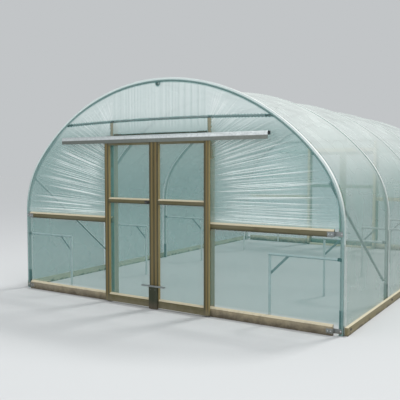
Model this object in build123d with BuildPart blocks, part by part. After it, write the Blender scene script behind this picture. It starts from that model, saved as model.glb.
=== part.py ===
from build123d import *

import os
from math import acos, atan2, cos, degrees, radians, sin, tan

os.makedirs("parts", exist_ok=True)

# A polytunnel greenhouse of five steel hoops under one polythene cover, in millimetres.
# X runs across the tunnel, +Y from the front end to the rear end, +Z up.
# The origin is at ground level, in the middle of the footprint.
# Distances called out are measured from the plane of an end hoop's tube, away from the tunnel.

# Hoops
hoop_count = 5
hoop_spacing = 1524.0
tunnel_width = 4280.0
tunnel_height = 2565.0
bend_radius = 1019.0
bend_sweep = 39.8
hoop_d = 42.0
sleeve_wall = 3.0
sleeve_height = 236.0

# Clearances: pieces that seat on each other, and pieces that move past each other
seat_gap = 0.3
run_gap = 6.0

# Polythene
film_t = 3.0

# Lighter tubes: ridge, head bars, corner braces and bench frames
tube_d = 27.0
collar_length = 34.0
socket_length = 45.0
ridge_end_setback = 10.0
saddle_length = 30.0
saddle_flange = 29.0
saddle_t = 4.0
saddle_toe = 26.0
head_bar_under_top = 446.0
head_bar_bow = 26.0
brace_over_leg = 440.0
brace_foot_clear = 34.0

# Bench frames inside both side walls
bench_share = 0.708
bench_depth = 749.0
bench_brace_width = 24.0
bench_brace_t = 4.0
bench_brace_reach = 205.0
bench_brace_drop = 198.0

# Timber of the end walls
post_width = 47.0
post_depth = 75.0
doorway_half = 647.0
rail_t = 35.0
rail_bevel = 18.0
rail_end_gap = 69.0
mid_rail_under_bend = 7.0
mid_rail_height = 72.0
base_rail_height = 103.0
head_rail_height = 75.0
head_rail_depth = 47.0
sill_height = 35.0
side_rail_t = 33.0
side_rail_height = 78.0
side_bolt_d = 24.0
side_bolt_head = 9.0
side_bolt_height = 50.0
side_bolt_inset = 80.0

# Straps that tie the timber rails to the end hoops
strap_t = 2.5
strap_grip = 62.0
strap_reach = 78.0
strap_height = 46.0

# Door leaves
door_travel = 650.0
leaf_under_head_bar = 229.0
leaf_bottom = 15.0
leaf_overlap = 66.0
leaf_meeting_gap = 5.0
leaf_frame_t = 37.0
leaf_bevel = 16.0
stile_width = 58.0
leaf_top_rail = 56.0
leaf_upper_pane = 604.0
leaf_mid_rail = 60.0
leaf_bottom_rail = 95.0
latch_width = 62.0
latch_height = 34.0
latch_t = 5.0
latch_knob_d = 16.0
latch_knob_length = 14.0

# Hangers that carry the leaves
hanger_inset = 95.0
hanger_plate_length = 80.0
hanger_plate_t = 3.0
hanger_stem_width = 34.0
hanger_stem_t = 4.0
hanger_drop = 6.0
wheel_d = 26.0
wheel_width = 14.0
wheel_gap = 0.5
axle_cover = 10.0

# Door track: a channel that is slotted below and has a fascia in front
track_end_room = 30.0
track_wall = 3.0
track_inner_height = 37.0
track_inner_round = 20.0
track_fascia = 41.0
slot_side_gap = 5.0
plug_stand_out = 6.0
plug_depth = 14.0
bracket_width = 40.0
bracket_leg = 46.0
bracket_t = 3.0

# Guide at the foot of the doorway
guide_width = 112.0
guide_t = 18.0
guide_height = 250.0
guide_foot_width = 60.0
guide_foot_t = 5.0
guide_strip_length = 310.0
guide_strip_t = 15.0
guide_strip_depth = 24.0

# Places along and across the tunnel that follow from the sizes
half_length = hoop_spacing * (hoop_count - 1) / 2
hoop_r = hoop_d / 2
tube_r = tube_d / 2
hoop_x = tunnel_width / 2 - hoop_r
bend_x = hoop_x - bend_radius
crown_z = tunnel_height - hoop_r
crown_radius = bend_radius + bend_x / cos(radians(bend_sweep))
crown_centre_z = crown_z - crown_radius
leg_height = crown_centre_z + bend_x * tan(radians(bend_sweep))
head_bar_height = tunnel_height - head_bar_under_top
bench_height = leg_height * bench_share
bench_leg_x = hoop_x - bench_depth
mid_rail_top = leg_height - mid_rail_under_bend
rail_end_x = hoop_x - rail_end_gap

# Layers of an end wall, counted outward from the plane of the end hoop
sleeve_r = hoop_r + seat_gap + sleeve_wall
wall_face = sleeve_r + seat_gap
wall_front = wall_face + film_t
rail_back = wall_front + seat_gap
rail_front = rail_back + rail_t
leaf_film_back = rail_front + run_gap
leaf_frame_back = leaf_film_back + film_t + seat_gap
leaf_frame_front = leaf_frame_back + leaf_frame_t
leaf_middle = (leaf_frame_back + leaf_frame_front) / 2
guide_back = leaf_frame_front + run_gap
post_front = wall_face - seat_gap

# Layers of the cover, counted outward from the middle of the hoop tube
cover_in = sleeve_r + seat_gap
cover_out = cover_in + film_t
cover_half_length = half_length + wall_front

# Leaves and track
leaf_top = head_bar_height - leaf_under_head_bar
leaf_mid_rail_top = leaf_top - leaf_top_rail - leaf_upper_pane
leaf_outer_x = doorway_half + leaf_overlap
leaf_width = leaf_outer_x - leaf_meeting_gap / 2
leaf_height = leaf_top - leaf_bottom
leaf_x = (leaf_outer_x + leaf_meeting_gap / 2) / 2
lip_bottom = leaf_top + hanger_plate_t + hanger_drop
lip_top = lip_bottom + track_wall
track_inner_top = lip_top + track_inner_height
track_top = track_inner_top + track_wall
track_inner_half = leaf_frame_t / 2 + run_gap
track_outer_half = track_inner_half + track_wall
slot_half = hanger_stem_t / 2 + slot_side_gap
track_half_length = leaf_outer_x + door_travel + track_end_room
axle_z = lip_top + wheel_gap + wheel_d / 2
post_x = doorway_half + post_width / 2

# The head bars rise to the middle on one wide arc
head_inner_r = crown_radius - hoop_r - seat_gap
head_bar_end = head_bar_height - head_bar_bow
head_bar_half = (head_inner_r**2 - (head_bar_end + tube_r - crown_centre_z) ** 2) ** 0.5
head_arc_r = (head_bar_half**2 + head_bar_bow**2) / (2 * head_bar_bow)
head_arc_z = head_bar_height - head_arc_r
post_top = head_arc_z + (head_arc_r**2 - (doorway_half + post_width) ** 2) ** 0.5 - tube_r - seat_gap


def end_plane(out):
    """The upright plane across the front end at a distance out from the end hoop."""
    return Plane.XZ.offset(half_length + out)


def arch_lines(grow, foot):
    """Draw the hoop's line from foot to foot, moved outward by grow, in the current line."""
    crown_half = 90 - bend_sweep
    Line((-hoop_x - grow, foot), (-hoop_x - grow, leg_height))
    CenterArc((-bend_x, leg_height), bend_radius + grow, 180, -bend_sweep)
    CenterArc((0, crown_centre_z), crown_radius + grow, 90 + crown_half, -2 * crown_half)
    CenterArc((bend_x, leg_height), bend_radius + grow, bend_sweep, -bend_sweep)
    Line((hoop_x + grow, leg_height), (hoop_x + grow, foot))


def head_bar_arc(from_x, to_x):
    """Draw the head bar's line between two places across the tunnel."""
    start = degrees(acos(from_x / head_arc_r))
    return CenterArc((0, head_arc_z), head_arc_r, start, degrees(acos(to_x / head_arc_r)) - start)


def hoop_point(height):
    """The middle of the hoop tube on its right side bend or leg, at a height."""
    if height <= leg_height:
        return Vector(hoop_x, 0, height)
    angle = atan2(height - leg_height, (bend_radius**2 - (height - leg_height) ** 2) ** 0.5)
    return Vector(bend_x + bend_radius * cos(angle), 0, height)


# Hoops, each bent from one tube
for number in range(hoop_count):
    with BuildPart() as hoop:
        with BuildLine(Plane.XZ.offset(half_length - number * hoop_spacing)) as hoop_path:
            arch_lines(0, 0)
        with BuildSketch(Plane(origin=hoop_path.wire() @ 0, z_dir=hoop_path.wire() % 0)):
            Circle(hoop_r)
        sweep()
    hoop.part.label = f"hoop_{number + 1}"
    export_step(hoop.part, f"parts/hoop_{number + 1}.step")

hoop_places = GridLocations(2 * hoop_x, hoop_spacing, 2, hoop_count)

# Ground tubes that the hoop feet stand in
with BuildPart() as ground_tubes:
    with BuildSketch(Plane.XY):
        with hoop_places:
            Circle(sleeve_r)
            Circle(hoop_r + seat_gap, mode=Mode.SUBTRACT)
    extrude(amount=sleeve_height)
ground_tubes.part.label = "ground_tubes"
export_step(ground_tubes.part, "parts/ground_tubes.step")

# Ridge tube under the crowns
ridge_z = tunnel_height - hoop_d - seat_gap - tube_r
ridge_length = 2 * (half_length + ridge_end_setback)
with BuildPart() as ridge_tube:
    with BuildSketch(Plane.XZ.offset(-ridge_length / 2)):
        with Locations((0, ridge_z)):
            Circle(tube_r)
    extrude(amount=ridge_length)
ridge_tube.part.label = "ridge_tube"
export_step(ridge_tube.part, "parts/ridge_tube.step")

# Cast saddles that hold the ridge tube up against each hoop
saddle_bore = tube_r + seat_gap
saddle_top = tunnel_height - hoop_d - seat_gap
saddle_half = saddle_bore + saddle_t + saddle_flange
# The crown falls away a little over the saddle's flanges, and they lie that much lower.
saddle_fall = saddle_half**2 / (2 * (crown_radius - hoop_r)) + seat_gap
flange_top = saddle_top - saddle_fall
with BuildPart() as ridge_saddles:
    with BuildSketch(Plane.XZ.offset(half_length - saddle_length / 2)):
        with BuildLine():
            Polyline(
                (-saddle_half, flange_top),
                (-saddle_half, flange_top - saddle_t),
                (-saddle_bore, ridge_z - saddle_bore - saddle_toe),
                (saddle_bore, ridge_z - saddle_bore - saddle_toe),
                (saddle_half, flange_top - saddle_t),
                (saddle_half, flange_top),
                close=True,
            )
        make_face()
        with Locations((0, ridge_z)):
            Circle(saddle_bore, mode=Mode.SUBTRACT)
            Rectangle(2 * saddle_bore, tube_d, align=(Align.CENTER, Align.MIN), mode=Mode.SUBTRACT)
    saddle = extrude(amount=saddle_length)
    for number in range(1, hoop_count):
        add(Pos(0, number * hoop_spacing, 0) * saddle)
ridge_saddles.part.label = "ridge_saddles"
export_step(ridge_saddles.part, "parts/ridge_saddles.step")

# Head bars across both end hoops, cut to the hoop's inner side
with BuildPart() as hoop_envelope:
    with BuildLine(Plane.XZ.offset(half_length)) as envelope_path:
        arch_lines(0, 0)
    with BuildSketch(Plane(origin=envelope_path.wire() @ 0, z_dir=envelope_path.wire() % 0)):
        Circle(hoop_r + seat_gap)
    sweep()
with BuildPart() as head_bars:
    with BuildLine(Plane.XZ.offset(half_length)) as bar_path:
        head_bar_arc(-head_bar_half, head_bar_half)
    with BuildSketch(Plane(origin=bar_path.wire() @ 0, z_dir=bar_path.wire() % 0)):
        Circle(tube_r)
    sweep()
    add(hoop_envelope.part, mode=Mode.SUBTRACT)
    mirror(about=Plane.XZ)
head_bars.part.label = "head_bars"
export_step(head_bars.part, "parts/head_bars.step")

# Sockets that hold the head bars' ends, shaped to the hoop, and clips over the door posts
socket_bore = tube_r + seat_gap
socket_r = socket_bore + sleeve_wall
socket_end = (head_inner_r**2 - (head_bar_end - 2 * socket_r - crown_centre_z) ** 2) ** 0.5
with BuildPart() as head_bar_clamps:
    with BuildLine(Plane.XZ.offset(half_length)) as socket_path:
        head_bar_arc(head_bar_half - socket_length, socket_end)
    with BuildSketch(Plane(origin=socket_path.wire() @ 0, z_dir=socket_path.wire() % 0)):
        Circle(socket_r)
        Circle(socket_bore, mode=Mode.SUBTRACT)
    sweep()
    add(hoop_envelope.part, mode=Mode.SUBTRACT)
    with BuildLine(Plane.XZ.offset(half_length)) as clip_path:
        head_bar_arc(post_x - bracket_width / 2, post_x + bracket_width / 2)
    with BuildSketch(Plane(origin=clip_path.wire() @ 0, x_dir=(0, 1, 0), z_dir=clip_path.wire() % 0)):
        Circle(socket_r)
        with Locations((0, -socket_bore)):
            Rectangle(2 * socket_r, socket_bore, align=(Align.CENTER, Align.MIN))
            Rectangle(2 * hoop_r, sleeve_wall, align=(Align.CENTER, Align.MIN))
        Circle(socket_bore, mode=Mode.SUBTRACT)
        Rectangle(2 * socket_bore, tube_d, align=(Align.CENTER, Align.MAX), mode=Mode.SUBTRACT)
    sweep()
    mirror(about=Plane.YZ)
    mirror(about=Plane.XZ)
head_bar_clamps.part.label = "head_bar_clamps"
export_step(head_bar_clamps.part, "parts/head_bar_clamps.step")

# Corner braces from the end hoops down to the next hoops
brace_head = hoop_point(leg_height + brace_over_leg) - Vector(0, half_length, 0)
brace_foot = hoop_point(sleeve_height + brace_foot_clear) - Vector(0, half_length - hoop_spacing, 0)
brace_run = (brace_foot - brace_head).normalized()
bend_angle = atan2(brace_over_leg, brace_head.X - bend_x)
hoop_rise = Vector(-sin(bend_angle), 0, cos(bend_angle))
brace_stand_off = hoop_r + tube_r + 2 * seat_gap
brace_start = brace_head + hoop_rise.cross(brace_run).normalized() * brace_stand_off
brace_end = brace_foot + Vector(0, 0, 1).cross(brace_run).normalized() * brace_stand_off
brace_axis = brace_end - brace_start
with BuildPart() as corner_braces:
    with BuildSketch(Plane(origin=brace_start, z_dir=brace_axis)):
        Circle(tube_r)
    extrude(amount=brace_axis.length)
    mirror(about=Plane.YZ)
    mirror(about=Plane.XZ)
corner_braces.part.label = "corner_braces"
export_step(corner_braces.part, "parts/corner_braces.step")

# Bench frames: an arm from each hoop leg to a leg of its own, tied by a flat brace
arm_end = hoop_x - hoop_r - seat_gap
arm_start = bench_leg_x - tube_r
with BuildPart() as bench_arms:
    for number in range(hoop_count):
        with BuildSketch(Plane.YZ.offset(arm_start)):
            with Locations((number * hoop_spacing - half_length, bench_height)):
                Circle(tube_r)
        extrude(amount=arm_end - arm_start)
    mirror(about=Plane.YZ)
bench_arms.part.label = "bench_arms"
export_step(bench_arms.part, "parts/bench_arms.step")

with BuildPart() as bench_legs:
    with BuildSketch(Plane.XY):
        with GridLocations(2 * bench_leg_x, hoop_spacing, 2, hoop_count):
            Circle(tube_r)
    extrude(amount=bench_height - tube_r - seat_gap)
bench_legs.part.label = "bench_legs"
export_step(bench_legs.part, "parts/bench_legs.step")

brace_length = (bench_brace_reach**2 + bench_brace_drop**2) ** 0.5
brace_slope = degrees(atan2(bench_brace_drop, bench_brace_reach))
with BuildPart() as bench_braces:
    for number in range(hoop_count):
        beside = half_length - number * hoop_spacing - tube_r - seat_gap
        with BuildSketch(Plane.XZ.offset(beside)):
            with Locations((bench_leg_x + bench_brace_reach / 2, bench_height - bench_brace_drop / 2)):
                SlotCenterToCenter(brace_length, bench_brace_width, rotation=brace_slope)
        extrude(amount=-bench_brace_t)
    mirror(about=Plane.YZ)
bench_braces.part.label = "bench_braces"
export_step(bench_braces.part, "parts/bench_braces.step")

# Collars that clip the bench arms to the hoop legs from inside
with BuildPart() as bench_collars:
    for number in range(hoop_count):
        place_y = number * hoop_spacing - half_length
        with BuildSketch(Plane.XY.offset(bench_height - collar_length / 2)):
            with Locations((hoop_x, place_y)):
                Circle(sleeve_r)
                Rectangle(sleeve_r, 2 * sleeve_r, align=(Align.MIN, Align.CENTER), mode=Mode.SUBTRACT)
                Circle(hoop_r + seat_gap, mode=Mode.SUBTRACT)
        extrude(amount=collar_length)
        with BuildSketch(Plane.YZ.offset(hoop_x - socket_length)):
            with Locations((place_y, bench_height)):
                Circle(tube_r + seat_gap + sleeve_wall)
        extrude(amount=socket_length - sleeve_r + sleeve_wall / 2)
        with BuildSketch(Plane.YZ.offset(hoop_x - socket_length)):
            with Locations((place_y, bench_height)):
                Circle(tube_r + seat_gap)
        extrude(amount=socket_length, mode=Mode.SUBTRACT)
    mirror(about=Plane.YZ)
bench_collars.part.label = "bench_collars"
export_step(bench_collars.part, "parts/bench_collars.step")

# Base rails and mid rails of the end walls, from the door posts out to the hoops
rail_length = rail_end_x - doorway_half
for name, rail_top, rail_height in (
    ("end_base_rails", base_rail_height, base_rail_height),
    ("mid_rails", mid_rail_top, mid_rail_height),
):
    with BuildPart() as end_rails:
        with BuildSketch(Plane.YZ.offset(doorway_half)):
            with BuildLine():
                Polyline(
                    (-half_length - rail_back, rail_top),
                    (-half_length - rail_back, rail_top - rail_height),
                    (-half_length - rail_front, rail_top - rail_height),
                    (-half_length - rail_front, rail_top - rail_bevel),
                    (-half_length - rail_front + rail_bevel, rail_top),
                    close=True,
                )
            make_face()
        extrude(amount=rail_length)
        mirror(about=Plane.YZ)
        mirror(about=Plane.XZ)
    end_rails.part.label = name
    export_step(end_rails.part, f"parts/{name}.step")

# Side base rails outside the hoops, with the cover between, from the first hoop to the last
side_rail_x = hoop_x + cover_out + seat_gap + side_rail_t / 2
side_rail_length = 2 * half_length
with BuildPart() as side_base_rails:
    with BuildSketch(Plane.XY):
        with GridLocations(2 * side_rail_x, 1, 2, 1):
            Rectangle(side_rail_t, side_rail_length)
    extrude(amount=side_rail_height)
side_base_rails.part.label = "side_base_rails"
export_step(side_base_rails.part, "parts/side_base_rails.step")

# Bolt heads on the side base rails, one near each hoop
side_face = side_rail_x + side_rail_t / 2
side_bolt_spacing = (side_rail_length - 2 * side_bolt_inset) / (hoop_count - 1)
with BuildPart() as side_rail_bolts:
    with BuildSketch(Plane.YZ.offset(side_face)):
        with Locations((0, side_bolt_height)):
            with GridLocations(side_bolt_spacing, 1, hoop_count, 1):
                Circle(side_bolt_d / 2)
    extrude(amount=side_bolt_head)
    chamfer(side_rail_bolts.faces().group_by(Axis.X)[-1].edges(), length=side_bolt_head / 2)
    mirror(about=Plane.YZ)
side_rail_bolts.part.label = "side_rail_bolts"
export_step(side_rail_bolts.part, "parts/side_rail_bolts.step")

# Straps bent from flat steel that tie the rails' ends to the end hoops
strap_start = rail_end_x - strap_grip
strap_turn = rail_end_x + seat_gap
with BuildPart() as rail_straps:
    for rail_top, rail_height in ((base_rail_height, base_rail_height), (mid_rail_top, mid_rail_height)):
        strap_z = rail_top - (rail_height + rail_bevel) / 2
        with BuildSketch(Plane.XY.offset(strap_z - strap_height / 2)):
            with Locations((strap_start, -half_length - rail_front - seat_gap)):
                Rectangle(strap_turn + strap_t - strap_start, strap_t, align=(Align.MIN, Align.MAX))
            with Locations((strap_turn, -half_length - rail_back)):
                Rectangle(strap_t, rail_t + seat_gap + strap_t, align=(Align.MIN, Align.MAX))
                Rectangle(strap_reach, strap_t, align=(Align.MIN, Align.MAX))
        extrude(amount=strap_height)
    mirror(about=Plane.YZ)
    mirror(about=Plane.XZ)
rail_straps.part.label = "rail_straps"
export_step(rail_straps.part, "parts/rail_straps.step")

# Door posts, head rails and sills of both doorways
with BuildPart() as door_posts:
    with BuildSketch(Plane.XY):
        with Locations((-post_x, -half_length - post_front), (post_x, -half_length - post_front)):
            Rectangle(post_width, post_depth, align=(Align.CENTER, Align.MIN))
    extrude(amount=post_top)
    mirror(about=Plane.XZ)
door_posts.part.label = "door_posts"
export_step(door_posts.part, "parts/door_posts.step")

with BuildPart() as door_head_rails:
    with BuildSketch(Plane.XY.offset(leaf_top)):
        with Locations((0, -half_length - post_front)):
            Rectangle(2 * doorway_half, head_rail_depth, align=(Align.CENTER, Align.MIN))
    extrude(amount=head_rail_height)
    mirror(about=Plane.XZ)
door_head_rails.part.label = "door_head_rails"
export_step(door_head_rails.part, "parts/door_head_rails.step")

with BuildPart() as door_sills:
    with BuildSketch(Plane.XY):
        with Locations((0, -half_length - post_front)):
            Rectangle(2 * doorway_half, head_rail_depth, align=(Align.CENTER, Align.MIN))
    extrude(amount=sill_height)
    mirror(about=Plane.XZ)
door_sills.part.label = "door_sills"
export_step(door_sills.part, "parts/door_sills.step")

# End films, split beside and over each doorway
edge_grow = cover_in - seat_gap
wide = 2 * tunnel_width
for end, mirrored in (("front", False), ("rear", True)):
    for name, corner, align in (
        ("right", (doorway_half, 0), (Align.MIN, Align.MIN)),
        ("left", (-doorway_half, 0), (Align.MAX, Align.MIN)),
        ("top", (0, leaf_top), (Align.CENTER, Align.MIN)),
    ):
        panel_width = 2 * doorway_half if name == "top" else wide
        with BuildPart() as end_film:
            with BuildSketch(end_plane(wall_face)):
                with BuildLine():
                    arch_lines(edge_grow, 0)
                    Line((-hoop_x - edge_grow, 0), (hoop_x + edge_grow, 0))
                make_face()
                with Locations(corner):
                    Rectangle(panel_width, wide, align=align, mode=Mode.INTERSECT)
            panel = extrude(amount=film_t)
            if mirrored:
                mirror(panel, about=Plane.XZ, mode=Mode.REPLACE)
        end_film.part.label = f"{end}_film_{name}"
        export_step(end_film.part, f"parts/{end}_film_{name}.step")

# The cover, one sheet, in strips that meet edge to edge: walls, side bends and crown
for name, turn in (("left", -1), ("right", 1)):
    bend_centre = (turn * bend_x, leg_height)
    with BuildPart() as cover_wall:
        with BuildSketch(Plane.XZ.offset(-cover_half_length)):
            with Locations((turn * (hoop_x + (cover_in + cover_out) / 2), leg_height / 2)):
                Rectangle(film_t, leg_height)
        extrude(amount=2 * cover_half_length)
    cover_wall.part.label = f"cover_{name}_wall"
    export_step(cover_wall.part, f"parts/cover_{name}_wall.step")

    with BuildPart() as cover_bend:
        with BuildSketch(Plane.XZ.offset(-cover_half_length)):
            with BuildLine():
                start = 0 if turn > 0 else 180
                outer = CenterArc(bend_centre, bend_radius + cover_out, start, turn * bend_sweep)
                inner = CenterArc(bend_centre, bend_radius + cover_in, start, turn * bend_sweep)
                Line(outer @ 0, inner @ 0)
                Line(outer @ 1, inner @ 1)
            make_face()
        extrude(amount=2 * cover_half_length)
    cover_bend.part.label = f"cover_{name}_bend"
    export_step(cover_bend.part, f"parts/cover_{name}_bend.step")

with BuildPart() as cover_crown:
    with BuildSketch(Plane.XZ.offset(-cover_half_length)):
        with BuildLine():
            crown_turn = 180 - 2 * bend_sweep
            outer = CenterArc((0, crown_centre_z), crown_radius + cover_out, bend_sweep, crown_turn)
            inner = CenterArc((0, crown_centre_z), crown_radius + cover_in, bend_sweep, crown_turn)
            Line(outer @ 0, inner @ 0)
            Line(outer @ 1, inner @ 1)
        make_face()
    extrude(amount=2 * cover_half_length)
cover_crown.part.label = "cover_crown"
export_step(cover_crown.part, "parts/cover_crown.step")

# Door tracks: a channel with a slotted floor, a rounded upper front and a fascia below it
track_outer_round = track_inner_round + track_wall
with BuildPart() as door_tracks:
    with BuildSketch(Plane.YZ.offset(-track_half_length)):
        with Locations((-half_length - leaf_middle, track_top)):
            Rectangle(2 * track_outer_half, track_top - lip_bottom, align=(Align.CENTER, Align.MAX))
        with Locations((-half_length - leaf_middle - track_outer_half, lip_bottom)):
            Rectangle(track_wall, track_fascia, align=(Align.MIN, Align.MAX))
        with Locations((-half_length - leaf_middle, lip_top)):
            Rectangle(
                2 * track_inner_half,
                track_inner_height,
                align=(Align.CENTER, Align.MIN),
                mode=Mode.SUBTRACT,
            )
        with Locations((-half_length - leaf_middle, lip_top)):
            Rectangle(2 * slot_half, 2 * track_wall, mode=Mode.SUBTRACT)
    extrude(amount=2 * track_half_length)
    for level, nose_round in ((-2, track_inner_round), (-1, track_outer_round)):
        rims = door_tracks.edges().filter_by(Axis.X).group_by(Axis.Z)[level]
        fillet(rims.sort_by(Axis.Y)[0], nose_round)
    mirror(about=Plane.XZ)
door_tracks.part.label = "door_tracks"
export_step(door_tracks.part, "parts/door_tracks.step")

# Plugs that close the tracks' ends and stop the leaves
with BuildPart() as track_end_plugs:
    with BuildSketch(Plane.YZ.offset(track_half_length - plug_depth)):
        with Locations((-half_length - leaf_middle, lip_top + seat_gap)):
            Rectangle(
                2 * (track_inner_half - seat_gap),
                track_inner_height - 2 * seat_gap,
                align=(Align.CENTER, Align.MIN),
            )
    extrude(amount=plug_depth + plug_stand_out)
    plug_edges = track_end_plugs.edges().filter_by(Axis.X)
    fillet(plug_edges.group_by(Axis.Z)[-1].sort_by(Axis.Y)[0], track_inner_round - seat_gap)
    mirror(about=Plane.YZ)
    mirror(about=Plane.XZ)
track_end_plugs.part.label = "track_end_plugs"
export_step(track_end_plugs.part, "parts/track_end_plugs.step")

# Angle brackets that carry the tracks on the posts and on the head rails
bracket_top = track_top + seat_gap + bracket_t
bracket_arm = leaf_middle + track_outer_half - track_outer_round - rail_back
with BuildPart() as track_brackets:
    for bracket_x in (-post_x, 0, post_x):
        with BuildSketch(Plane.YZ.offset(bracket_x - bracket_width / 2)):
            with Locations((-half_length - rail_back, bracket_top)):
                Rectangle(bracket_t, bracket_leg, align=(Align.MAX, Align.MAX))
                Rectangle(bracket_arm, bracket_t, align=(Align.MAX, Align.MAX))
        extrude(amount=bracket_width)
    mirror(about=Plane.XZ)
track_brackets.part.label = "track_brackets"
export_step(track_brackets.part, "parts/track_brackets.step")

# Guide boards at the doorways' feet, which keep the leaves from swinging out
with BuildPart() as door_guides:
    with BuildSketch(end_plane(guide_back)):
        with Locations((0, guide_foot_t + seat_gap)):
            Rectangle(guide_width, guide_height - guide_foot_t - seat_gap, align=(Align.CENTER, Align.MIN))
    extrude(amount=guide_t)
    mirror(about=Plane.XZ)
door_guides.part.label = "door_guides"
export_step(door_guides.part, "parts/door_guides.step")

# Irons of the guides: a foot that runs under the leaves to the sill, and a strip on top
with BuildPart() as door_guide_irons:
    with BuildSketch(Plane.XY):
        with Locations((0, -half_length - post_front - seat_gap)):
            Rectangle(
                guide_foot_width,
                guide_back + guide_t - post_front - seat_gap,
                align=(Align.CENTER, Align.MAX),
            )
    extrude(amount=guide_foot_t)
    with BuildSketch(Plane.XY.offset(guide_height + seat_gap)):
        with Locations((0, -half_length - guide_back)):
            Rectangle(guide_strip_length, guide_strip_depth, align=(Align.CENTER, Align.MAX))
    extrude(amount=guide_strip_t)
    mirror(about=Plane.XZ)
door_guide_irons.part.label = "door_guide_irons"
export_step(door_guide_irons.part, "parts/door_guide_irons.step")

# Door leaves: a timber frame of two panes, its film at the back, and two wheeled hangers
pane_width = leaf_width - 2 * stile_width
low_pane_bottom = leaf_bottom + leaf_bottom_rail
low_pane_top = leaf_mid_rail_top - leaf_mid_rail
high_pane_top = leaf_top - leaf_top_rail
leaf_panes = ((low_pane_bottom, low_pane_top), (leaf_mid_rail_top, high_pane_top))
leaf_centre_z = (leaf_top + leaf_bottom) / 2
leaf_parts = {}
for name, turn in (("left", -1), ("right", 1)):
    with BuildPart() as leaf_frame:
        with BuildSketch(end_plane(leaf_frame_back)):
            with Locations((turn * leaf_x, leaf_centre_z)):
                Rectangle(leaf_width, leaf_height)
            for pane_bottom, pane_top in leaf_panes:
                with Locations((turn * leaf_x, pane_bottom)):
                    Rectangle(
                        pane_width,
                        pane_top - pane_bottom,
                        align=(Align.CENTER, Align.MIN),
                        mode=Mode.SUBTRACT,
                    )
        extrude(amount=leaf_frame_t)
        with BuildSketch(Plane.YZ.offset(turn * leaf_x - pane_width / 2)):
            for bevel_top in (low_pane_bottom, leaf_mid_rail_top):
                with BuildLine():
                    Polyline(
                        (-half_length - leaf_frame_front, bevel_top - leaf_bevel),
                        (-half_length - leaf_frame_front + leaf_bevel, bevel_top),
                        (-half_length - leaf_frame_front, bevel_top),
                        close=True,
                    )
                make_face()
        extrude(amount=pane_width, mode=Mode.SUBTRACT)
    with BuildPart() as leaf_film:
        with BuildSketch(end_plane(leaf_film_back)):
            with Locations((turn * leaf_x, leaf_centre_z)):
                Rectangle(leaf_width, leaf_height)
        extrude(amount=film_t)
    with BuildPart() as leaf_hangers:
        for hanger_x in (
            turn * leaf_x - leaf_width / 2 + hanger_inset,
            turn * leaf_x + leaf_width / 2 - hanger_inset,
        ):
            with BuildSketch(Plane.XY.offset(leaf_top)):
                with Locations((hanger_x, -half_length - leaf_middle)):
                    Rectangle(hanger_plate_length, leaf_frame_t)
            extrude(amount=hanger_plate_t)
            with BuildSketch(Plane.XY.offset(leaf_top)):
                with Locations((hanger_x, -half_length - leaf_middle)):
                    Rectangle(hanger_stem_width, hanger_stem_t)
            extrude(amount=axle_z + axle_cover - leaf_top)
            with BuildSketch(end_plane(leaf_middle - hanger_stem_t / 2 - wheel_width)):
                with Locations((hanger_x, axle_z)):
                    Circle(wheel_d / 2)
            extrude(amount=hanger_stem_t + 2 * wheel_width)
    leaf_parts[name] = (leaf_frame.part, leaf_film.part, leaf_hangers.part)
    leaf_frame.part.label = f"front_{name}_door_frame"
    export_step(leaf_frame.part, f"parts/front_{name}_door_frame.step")
    leaf_film.part.label = f"front_{name}_door_film"
    export_step(leaf_film.part, f"parts/front_{name}_door_film.step")
    leaf_hangers.part.label = f"front_{name}_door_hangers"
    export_step(leaf_hangers.part, f"parts/front_{name}_door_hangers.step")

# The latch on the left leaf's mid rail, beside the meeting stile
latch_x = -leaf_meeting_gap / 2 - stile_width - latch_width / 2
latch_z = leaf_mid_rail_top - (leaf_mid_rail + leaf_bevel) / 2
with BuildPart() as latch:
    with BuildSketch(end_plane(leaf_frame_front + seat_gap)):
        with Locations((latch_x, latch_z)):
            RectangleRounded(latch_width, latch_height, latch_t)
    extrude(amount=latch_t)
    with BuildSketch(end_plane(leaf_frame_front + seat_gap + latch_t)):
        with Locations((latch_x, latch_z)):
            Circle(latch_knob_d / 2)
    extrude(amount=latch_knob_length)
latch.part.label = "front_left_door_latch"
export_step(latch.part, "parts/front_left_door_latch.step")

# Rear leaves, which repeat the front ones
for place, node in enumerate(("rear_door_frames", "rear_door_films", "rear_door_hangers")):
    with BuildPart() as rear_leaves:
        mirror(leaf_parts["left"][place], about=Plane.XZ)
        mirror(leaf_parts["right"][place], about=Plane.XZ)
    rear_leaves.part.label = node
    export_step(rear_leaves.part, f"parts/{node}.step")
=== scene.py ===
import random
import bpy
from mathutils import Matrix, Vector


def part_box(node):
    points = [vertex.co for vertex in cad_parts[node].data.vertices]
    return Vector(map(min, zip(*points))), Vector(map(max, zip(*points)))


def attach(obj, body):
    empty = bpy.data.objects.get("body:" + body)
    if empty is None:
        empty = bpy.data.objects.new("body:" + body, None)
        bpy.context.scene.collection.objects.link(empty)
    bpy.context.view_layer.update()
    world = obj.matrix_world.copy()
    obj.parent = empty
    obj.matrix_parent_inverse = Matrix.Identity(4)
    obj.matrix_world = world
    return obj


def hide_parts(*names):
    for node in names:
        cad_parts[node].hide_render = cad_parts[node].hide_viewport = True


bl_info = {
    "name": "Polytunnel Dressing",
    "version": (1, 0, 0),
    "blender": (4, 5, 0),
    "location": "3D View > Sidebar > Polytunnel",
    "description": "Dresses a polytunnel greenhouse in polythene, weathered timber and zinc",
    "category": "Object",
}

from math import acos, atan2, cos, exp, hypot, pi, radians, sin, sqrt, tau

import bpy
import bmesh
from bpy.props import FloatProperty, FloatVectorProperty, IntProperty, PointerProperty
from mathutils import Vector

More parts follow.
